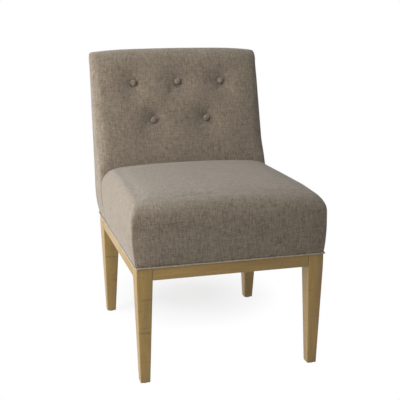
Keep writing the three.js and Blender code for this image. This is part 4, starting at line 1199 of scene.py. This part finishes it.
def welt_ring(inset, z, angle):
    radius = max(WELT_CORNER_RADIUS - inset, CLEARANCE)
    plan = outline(
        half=HALF_WIDTH - inset,
        rear_half=HALF_WIDTH - inset,
        front=inset - FABRIC_OVERHANG,
        rear=BASE_DEPTH + FABRIC_OVERHANG - inset,
        front_radius=radius,
        rear_radius=radius,
        columns=WELT_COLUMNS,
        rows=WELT_ROWS,
    )
    ring = np.column_stack([plan[:, 0], plan[:, 1] + FRONT, np.full(len(plan), z)])
    if angle is not None:
        twist = np.sin(FULL_TURN * np.arange(len(plan)) / WELT_TWIST_STEPS + angle)
        size = WELT_RADIUS * (1 - WELT_TWIST_SHARE * (1 + twist) / 2)
        tangent = np.roll(plan, -1, axis=0) - np.roll(plan, 1, axis=0)
        tangent /= np.linalg.norm(tangent, axis=1, keepdims=True)
        ring[:, 0] += tangent[:, 1] * size * math.cos(angle)
        ring[:, 1] -= tangent[:, 0] * size * math.cos(angle)
        ring[:, 2] += size * math.sin(angle)
    return ring


def welt():
    rings = [welt_ring(*place) for place in welt_section()]
    faces = ring_faces(len(rings[0]), len(rings), wrap=True)
    return new_object("welt_cord", np.concatenate(rings), faces)


# Buttons and twines


# Rings about a line into the back, from distances along it and functions of the angle for the radius
def rings_about(start, stations):
    right = Vector((1, 0, 0))
    up = right.cross(INTO_BACK)
    rings = []
    for along, radius_at in stations:
        ring = []
        for angle in turn_steps(FULL_TURN, BUTTON_SIDES)[:-1]:
            offset = right * math.cos(angle) + up * math.sin(angle)
            ring.append(start + INTO_BACK * along + offset * radius_at(angle))
        rings.append(ring)
    return rings


def pleated(radius, fold):
    def radius_at(angle):
        return radius - fold * (1 + math.cos(BUTTON_PLEATS * angle)) / 2

    return radius_at


def button(name, x, z):
    depth = tuft_depth(x, z) + BACK_EDGE_BOW * edge_bow(x)
    stand_off = TUFT_DEPTH - dimple(BUTTON_RADIUS) + CLEARANCE
    start = Vector((x, FRONT + back_face(z) + depth, z)) - INTO_BACK * stand_off
    stations = [(SHANK_LENGTH, pleated(SHANK_RADIUS, 0)), (0, pleated(SHANK_RADIUS, 0))]
    for radius_share, height_share, pleat_share in BUTTON_PROFILE_SHARES:
        edge = pleated(radius_share * BUTTON_RADIUS, pleat_share * BUTTON_PLEAT_DEPTH)
        stations.append((-height_share * BUTTON_THICKNESS, edge))
    obj = loft(f"covered_button_{name}", rings_about(start, stations))
    return sharpen(obj, BUTTON_SHARP_ANGLE)


def grooved(turn):
    def radius_at(angle):
        return TWINE_RADIUS * (1 - TWINE_GROOVE_SHARE * math.cos(angle - turn) ** 2)

    return radius_at


def twine(name):
    low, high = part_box(f"twine_{name}")
    length = (high.y - low.y) / INTO_BACK.y - 2 * SHANK_RADIUS
    start = middle_of(f"twine_{name}") - INTO_BACK * length / 2
    steps = round(length / TWINE_STEP)
    stations = []
    for step in range(steps + 1):
        turn = FULL_TURN * step * TWINE_STEP / TWINE_PITCH
        stations.append((length * step / steps, grooved(turn)))
    rings = rings_about(start, stations)
    return loft(f"twisted_twine_{name}", [ring[::-1] for ring in rings])


# Hidden cloth: the straps, the deck pad and the dust cover


# A closed sheet over a grid of places, between two height functions
def slab(name, x, y, columns, rows, low, high):
    points = []
    for height in (low, high):
        for row in range(rows + 1):
            for column in range(columns + 1):
                at = (lerp(*x, column / columns), lerp(*y, row / rows))
                points.append((*at, height(*at)))
    count = (rows + 1) * (columns + 1)
    under = np.arange(count).reshape(rows + 1, columns + 1)
    faces = grid_faces(under + count)
    faces += [(face[0], *face[:0:-1]) for face in grid_faces(under)]
    rim = [*under[0, :-1], *under[:-1, -1], *under[-1, :0:-1], *under[:0:-1, 0]]
    for a, b in zip(rim, rim[1:] + rim[:1]):
        faces.append((a, b, count + b, count + a))
    return sharpen(new_object(name, points, faces))


# A strap, made flat and then turned up against the leaning posts
def strap(name):
    low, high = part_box(name)
    middle = middle_of(name)
    lean = math.atan2(high.y - low.y - STRAP_THICKNESS, STRAP_HEIGHT)
    half = STRAP_THICKNESS / 2 - STRAP_RIB

    def rib(x, offset):
        height = STRAP_RIB * math.cos(math.pi * offset / STRAP_HEIGHT)
        return height * math.sin(FULL_TURN * x / STRAP_RIB_PITCH)

    obj = slab(
        f"woven_{name}",
        (low.x, high.x),
        (-STRAP_HEIGHT / 2, STRAP_HEIGHT / 2),
        STRAP_COLUMNS,
        STRAP_ROWS,
        lambda x, offset: rib(x, offset) - half,
        lambda x, offset: rib(x, offset) + half,
    )
    x, offset, thick = get_points(obj).T
    y = middle.y + offset * math.sin(lean) + thick * math.cos(lean)
    z = middle.z + offset * math.cos(lean) - thick * math.sin(lean)
    set_points(obj, np.column_stack([x, y, z]))
    obj.data.flip_normals()
    return obj


# Dimples between the quilting lines
def quilt(x, y):
    wave = math.sin(math.pi * x / DECK_QUILT_PITCH) * math.sin(math.pi * y / DECK_QUILT_PITCH)
    return DECK_DIMPLE * abs(wave) ** DECK_QUILT_POWER


def deck_pad():
    x, y, z = spans(DECK_LOW, DECK_HIGH)
    arch = z[1] - z[0] - DECK_THICKNESS

    def under(at_x, at_y):
        share = (at_y - y[0]) / (y[1] - y[0])
        return z[0] + arch * math.sin(math.pi * share) * DECK_FIT_SHARE

    return slab(
        "fibre_deck_pad",
        x,
        y,
        DECK_STEPS,
        DECK_STEPS,
        lambda at_x, at_y: under(at_x, at_y) + CLEARANCE,
        lambda at_x, at_y: under(at_x, at_y) + DECK_THICKNESS - quilt(at_x, at_y),
    )


def dust_cover():
    low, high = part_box("dust_cover")

    # How far the cloth hangs down: less by its edges, where it puckers between the staples
    def sag(x, y):
        from_side = min(x - low.x, high.x - x)
        from_end = min(y - low.y, high.y - y)
        edge = min(from_side, from_end)
        across = math.sin(math.pi * (x - low.x) / (high.x - low.x))
        along = math.sin(math.pi * (y - low.y) / (high.y - low.y))
        at = x if from_end < from_side else y
        pucker = DUST_PUCKER * (1 - math.cos(FULL_TURN * at / STAPLE_PITCH)) / 2
        fade = math.exp(-edge / DUST_PUCKER_REACH) * clamp(edge / STAPLE_PITCH)
        return DUST_SAG * across * along + pucker * fade

    obj = slab(
        "dust_cover_cloth",
        (low.x, high.x),
        (low.y, high.y),
        DUST_STEPS,
        DUST_STEPS,
        lambda x, y: low.z - sag(x, y),
        lambda x, y: high.z - sag(x, y),
    )
    heights = (low.z - DUST_SAG - STAPLE_PITCH, high.z + STAPLE_PITCH)
    holes = []
    for corner in CORNERS:
        middle = middle_of(f"{corner}_base_bolt")
        holes.append(loft("bolt_hole", circle_rings(BOLT_HOLE_RADIUS, heights, middle)))
    return cut(obj, *holes)


def dust_cover_staples():
    low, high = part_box("dust_cover")
    x = shrunk((low.x, high.x), STAPLE_INSET)
    y = shrunk((low.y, high.y), STAPLE_INSET)
    corners = [(x[0], y[0]), (x[1], y[0]), (x[1], y[1]), (x[0], y[1])]
    points = []
    faces = []
    for start, end in zip(corners, corners[1:] + corners[:1]):
        start = Vector((*start, low.z))
        end = Vector((*end, low.z))
        count = round((end - start).length / STAPLE_PITCH)
        for index in range(count):
            middle = start.lerp(end, (index + 1 / 2) / count)
            add_staple(points, faces, middle, (end - start).normalized())
    return new_object("dust_cover_staples", points, faces)


# A staple's crown, a short round wire that lies on the cloth
def add_staple(points, faces, middle, direction):
    down = Vector((0, 0, -1))
    side = down.cross(direction)
    first = len(points)
    for half in (-STAPLE_LENGTH / 2, STAPLE_LENGTH / 2):
        for angle in turn_steps(FULL_TURN, STAPLE_SIDES)[:-1]:
            offset = side * math.cos(angle) + down * (1 + math.sin(angle))
            points.append(middle + direction * half + offset * STAPLE_WIRE)
    faces += [tuple(first + i for i in face) for face in ring_faces(STAPLE_SIDES, 2)]
    second = first + STAPLE_SIDES
    faces.append(tuple(reversed(range(first, second))))
    faces.append(tuple(range(second, second + STAPLE_SIDES)))


# Materials


def node(tree, kind, inputs=None, **settings):
    made = tree.nodes.new(f"ShaderNode{kind}")
    for name, value in settings.items():
        setattr(made, name, value)
    for name, value in (inputs or {}).items():
        fill(tree, made.inputs[name], value)
    return made


def fill(tree, socket, value):
    if isinstance(value, bpy.types.NodeSocket):
        tree.links.new(value, socket)
    else:
        socket.default_value = value


def calc(tree, operation, *values):
    return node(tree, "Math", dict(enumerate(values)), operation=operation).outputs[0]


# A value plus shares of others
def add_shares(tree, value, *others):
    for other, share in others:
        value = calc(tree, "ADD", value, calc(tree, "MULTIPLY", other, share))
    return value


def blank_material(name):
    material = bpy.data.materials.new(name)
    material.use_nodes = True
    material.node_tree.nodes.clear()
    return material, material.node_tree


def vector(tree, x, y, z):
    return node(tree, "CombineXYZ", {"X": x, "Y": y, "Z": z}).outputs["Vector"]


def split(tree, place):
    apart = node(tree, "SeparateXYZ", {"Vector": place})
    return apart.outputs["X"], apart.outputs["Y"], apart.outputs["Z"]


def object_place(tree):
    return node(tree, "TexCoord").outputs["Object"]


def noise(tree, place, detail, roughness=NOISE_ROUGHNESS):
    inputs = {"Vector": place, "Scale": 1, "Detail": detail, "Roughness": roughness}
    return node(tree, "TexNoise", inputs).outputs["Fac"]


# A plain random share for each small cell of a surface
def random_cells(tree, place):
    color = node(tree, "TexVoronoi", {"Vector": place, "Scale": 1}).outputs["Color"]
    return node(tree, "SeparateColor", {"Color": color}).outputs["Red"]


# Stretches a value from a range to 0 to 1
def spread(tree, value, low, high):
    inputs = {"Value": value, "From Min": low, "From Max": high}
    return node(tree, "MapRange", inputs).outputs["Result"]


def blend(tree, share, first, second):
    return node(tree, "Mix", {"Factor": share, "A": first, "B": second}).outputs["Result"]


def blend_colors(tree, share, first, second):
    mix = node(tree, "Mix", data_type="RGBA")
    sockets = {socket.name: socket for socket in mix.inputs if socket.enabled}
    fill(tree, sockets["Factor"], share)
    fill(tree, sockets["A"], first)
    fill(tree, sockets["B"], second)
    return next(socket for socket in mix.outputs if socket.enabled)


def opaque(color, tone=1):
    return (*[part * tone for part in color], 1)


def finish_material(tree, shader, height, relief):
    bump = node(tree, "Bump", {"Height": height, "Distance": relief, "Strength": 1})
    fill(tree, shader.inputs["Normal"], bump.outputs["Normal"])
    node(tree, "OutputMaterial", {"Surface": shader.outputs["BSDF"]})


# Flecked tweed: yarns of uneven tone both ways, short flecks and soft patches. run says how much
# of a step backwards counts along the warp, so that the yarns run on over a rolled edge.
# tone makes all the colours lighter. On the welt it is painted light, which brightens its shaded cord.
def tweed(name, run, tone=1):
    material, tree = blank_material(name)
    x, y, z = split(tree, object_place(tree))
    normal = split(tree, node(tree, "NewGeometry").outputs["Normal"])
    is_side = calc(tree, "GREATER_THAN", calc(tree, "ABSOLUTE", normal[0]), TWEED_SIDE_NORMAL)
    u = blend(tree, is_side, x, y)
    v = blend(tree, is_side, add_shares(tree, z, (y, run)), z)

    def place(size_u, size_v, seed):
        return vector(tree, calc(tree, "DIVIDE", u, size_u), calc(tree, "DIVIDE", v, size_v), seed)

    def wave(across):
        return calc(tree, "SINE", calc(tree, "MULTIPLY", across, FULL_TURN / YARN_PITCH))

    weft = random_cells(tree, place(YARN_STREAK, YARN_PITCH, WEFT_SEED))
    warp = random_cells(tree, place(YARN_PITCH, YARN_STREAK, WARP_SEED))
    fleck = random_cells(tree, place(FLECK_WIDTH, FLECK_LENGTH, FLECK_SEED))
    patch = noise(tree, place(PATCH_SIZE, PATCH_SIZE, PATCH_SEED), PATCH_DETAIL)
    weave = calc(tree, "MULTIPLY", wave(u), wave(v))
    yarns = add_shares(tree, 0, (weft, WEFT_SHARE), (warp, WARP_SHARE))
    mixed = add_shares(tree, yarns, (fleck, FLECK_SHARE), (patch, PATCH_SHARE), (weave, WEAVE_SHARE))
    middle = (WARP_SHARE + WEFT_SHARE + FLECK_SHARE + PATCH_SHARE) / 2
    share = spread(tree, mixed, middle - TWEED_SPREAD, middle + TWEED_SPREAD)
    shader = node(tree, "BsdfPrincipled", {
        "Base Color": blend_colors(tree, share, opaque(TWEED_DARK, tone), opaque(TWEED_LIGHT, tone)),
        "Roughness": TWEED_ROUGHNESS,
        "Specular IOR Level": TWEED_SPECULAR,
        "Sheen Weight": SHEEN_WEIGHT,
        "Sheen Roughness": SHEEN_ROUGHNESS,
        "Sheen Tint": opaque(WHITE),
    })
    height = add_shares(tree, yarns, (weave, WEAVE_HEIGHT_SHARE))
    finish_material(tree, shader, height, TWEED_RELIEF)
    return material


# Satin oak with its grain along one axis, fine dark pores and, on the legs, a few cross marks
def oak(name, axis):
    material, tree = blank_material(name)
    places = dict(zip("xyz", split(tree, object_place(tree))))
    along = places.pop(axis)
    first, second = places.values()
    seed = sum(map(ord, name)) % OAK_SEEDS

    def grain(across, length, detail, low, high):
        place = vector(
            tree,
            calc(tree, "DIVIDE", first, across),
            calc(tree, "ADD", calc(tree, "DIVIDE", second, across), seed),
            calc(tree, "DIVIDE", along, length),
        )
        return spread(tree, noise(tree, place, detail), low, high)

    streaks = grain(*STREAKS)
    pores = grain(*PORES)
    tone = add_shares(tree, 0, (grain(*FIGURE), FIGURE_SHARE), (streaks, STREAK_SHARE))
    color = blend_colors(tree, tone, opaque(OAK_DARK), opaque(OAK_LIGHT))
    color = blend_colors(tree, calc(tree, "MULTIPLY", pores, PORE_SHARE), color, opaque(OAK_PORE))
    if axis == "z":
        marks = calc(tree, "MULTIPLY", grain(*MARKS), MARK_SHARE)
        color = blend_colors(tree, marks, color, opaque(OAK_PORE))
    shader = node(tree, "BsdfPrincipled", {
        "Base Color": color,
        "Roughness": OAK_ROUGHNESS,
        "Coat Weight": OAK_COAT,
        "Coat Roughness": OAK_COAT_ROUGHNESS,
    })
    finish_material(tree, shader, calc(tree, "SUBTRACT", streaks, pores), OAK_RELIEF)
    return material


# Two colours mixed by fibres or grain that is stretched along an axis
def grained(name, dark, light, size, roughness, relief, metallic):
    material, tree = blank_material(name)
    steps = []
    for place, length in zip(split(tree, object_place(tree)), size):
        steps.append(calc(tree, "DIVIDE", place, length * MILLIMETRE))
    grain = noise(tree, vector(tree, *steps), GRAIN_DETAIL, GRAIN_ROUGHNESS)
    share = spread(tree, grain, GRAIN_LOW, GRAIN_HIGH)
    shader = node(tree, "BsdfPrincipled", {
        "Base Color": blend_colors(tree, share, opaque(dark), opaque(light)),
        "Roughness": roughness,
        "Metallic": metallic,
    })
    finish_material(tree, shader, share, relief * MILLIMETRE)
    return material


def build_materials():
    made = {slot: grained(*values) for slot, values in GRAINED.items()}
    made["fabric"] = tweed("seat_tweed", SEAT_RUN)
    made["back_fabric"] = tweed("back_tweed", BACK_RUN)
    # The welt's tweed is the seat's made lighter: painted light over the shade along the cord
    made["welt_fabric"] = tweed("welt_tweed_painted_light", SEAT_RUN, WELT_PAINTED_LIGHT_TONE)
    made["oak"] = oak("spare_oak", "z")
    return made


# Every piece of the frame gets its slot's material, also where a dressed piece replaces it
def dress_nodes():
    for entry in frame["record"]["subparts"]:
        obj = bpy.data.objects[entry["node"]]
        obj.data.materials.clear()
        obj.data.materials.append(materials[entry["material_slot"]])


# Stage, light and camera


# One where a ray comes straight from the camera, from a gloss or through a clear surface
def seen_directly(tree):
    path = node(tree, "LightPath").outputs
    glossy = calc(tree, "MAXIMUM", path["Is Camera Ray"], path["Is Glossy Ray"])
    return calc(tree, "MAXIMUM", glossy, path["Is Transmission Ray"])


# A pale floor that turns white away from the chair, and keeps its shadow near it
def floor_material():
    material, tree = blank_material("pale_floor")
    inputs = {0: object_place(tree), 1: FLOOR_SHADE_PLACE}
    away = node(tree, "VectorMath", inputs, operation="DISTANCE").outputs["Value"]
    beyond = spread(tree, away, FLOOR_SHADE_RADIUS, FLOOR_WHITE_RADIUS)
    share = calc(tree, "MULTIPLY", seen_directly(tree), blend(tree, beyond, FLOOR_NEAR_SHARE, 1))
    diffuse = node(tree, "BsdfDiffuse", {"Color": opaque(FLOOR_COLOR)}).outputs["BSDF"]
    white = node(tree, "Emission").outputs["Emission"]
    mix = node(tree, "MixShader", {0: share, 1: diffuse, 2: white})
    node(tree, "OutputMaterial", {"Surface": mix.outputs["Shader"]})
    return material


def build_floor():
    half = FLOOR_SIZE / 2
    corners = [(-half, -half, 0), (half, -half, 0), (half, half, 0), (-half, half, 0)]
    floor = new_object("studio_floor", corners, [range(len(corners))])
    floor.data.materials.append(floor_material())


def build_sky():
    world = bpy.data.worlds.new("studio")
    bpy.context.scene.world = world
    world.use_nodes = True
    tree = world.node_tree
    toward_right = split(tree, node(tree, "TexCoord").outputs["Generated"])[0]
    glow = blend(tree, spread(tree, toward_right, -1, 1), SKY_LEFT, SKY_RIGHT)
    sky = tree.nodes["Background"].inputs
    fill(tree, sky["Color"], opaque(WHITE))
    fill(tree, sky["Strength"], blend(tree, seen_directly(tree), glow, 1))


def build_lamps():
    for name, (place, strength) in LAMPS.items():
        away = place - LAMP_AIM
        data = bpy.data.lights.new(name, "AREA")
        data.size = LAMP_SIZE
        data.energy = strength * (math.pi * away.length) ** 2
        add_pointed(name, data, place, away)


def build_camera():
    data = bpy.data.cameras.new("camera")
    data.lens = LENS
    data.sensor_width = SENSOR
    bpy.context.scene.camera = add_pointed("camera", data, EYE, EYE - TARGET)


# A lamp or a camera, with its back turned to the direction away
def add_pointed(name, data, place, away):
    obj = bpy.data.objects.new(name, data)
    obj.location = place
    obj.rotation_euler = away.to_track_quat("Z", "Y").to_euler()
    bpy.context.scene.collection.objects.link(obj)
    return obj


# Assembly


def build_upholstery():
    tweed_seat = materials["fabric"]
    tweed_back = materials["back_fabric"]
    seat = piece(seat_cushion(), "fabric", tweed_seat, "seat_cover", "seat_batting", "seat_foam")
    back = piece(back_cushion(), "fabric", tweed_back, "inside_back_cover", "back_batting", "back_foam")
    panel = piece(outside_panel(), "fabric", tweed_back, "outside_back_cover")
    # The welt wears the lightened tweed, whose extra lightness is painted light on its shaded cord
    piece(welt(), "fabric", materials["welt_fabric"], "welt")
    for name, (x, z) in BUTTONS.items():
        piece(button(name, x, z), "fabric", tweed_back, f"button_{name}")
        piece(twine(name), "twine", materials["twine"], f"twine_{name}")


def build_hidden_cloth():
    for name in ("lower_strap", "middle_strap", "upper_strap"):
        obj = piece(strap(name), "webbing", materials["webbing"], name)
        flat = (STRAP_HEIGHT, flat_size(name)[0])
    deck = piece(deck_pad(), "decking", materials["decking"], "seat_deck")
    flat_size("seat_deck")
    staples = piece(dust_cover_staples(), "steel", materials["steel"])
    dust = piece(dust_cover(), "cambric", materials["cambric"], "dust_cover")
    flat_size("dust_cover")


build_camera()
build_floor()
build_sky()
build_lamps()
materials = build_materials()
dress_nodes()
build_base()
build_upholstery()
build_hidden_cloth()
bpy.context.scene.view_settings.view_transform = "Standard"
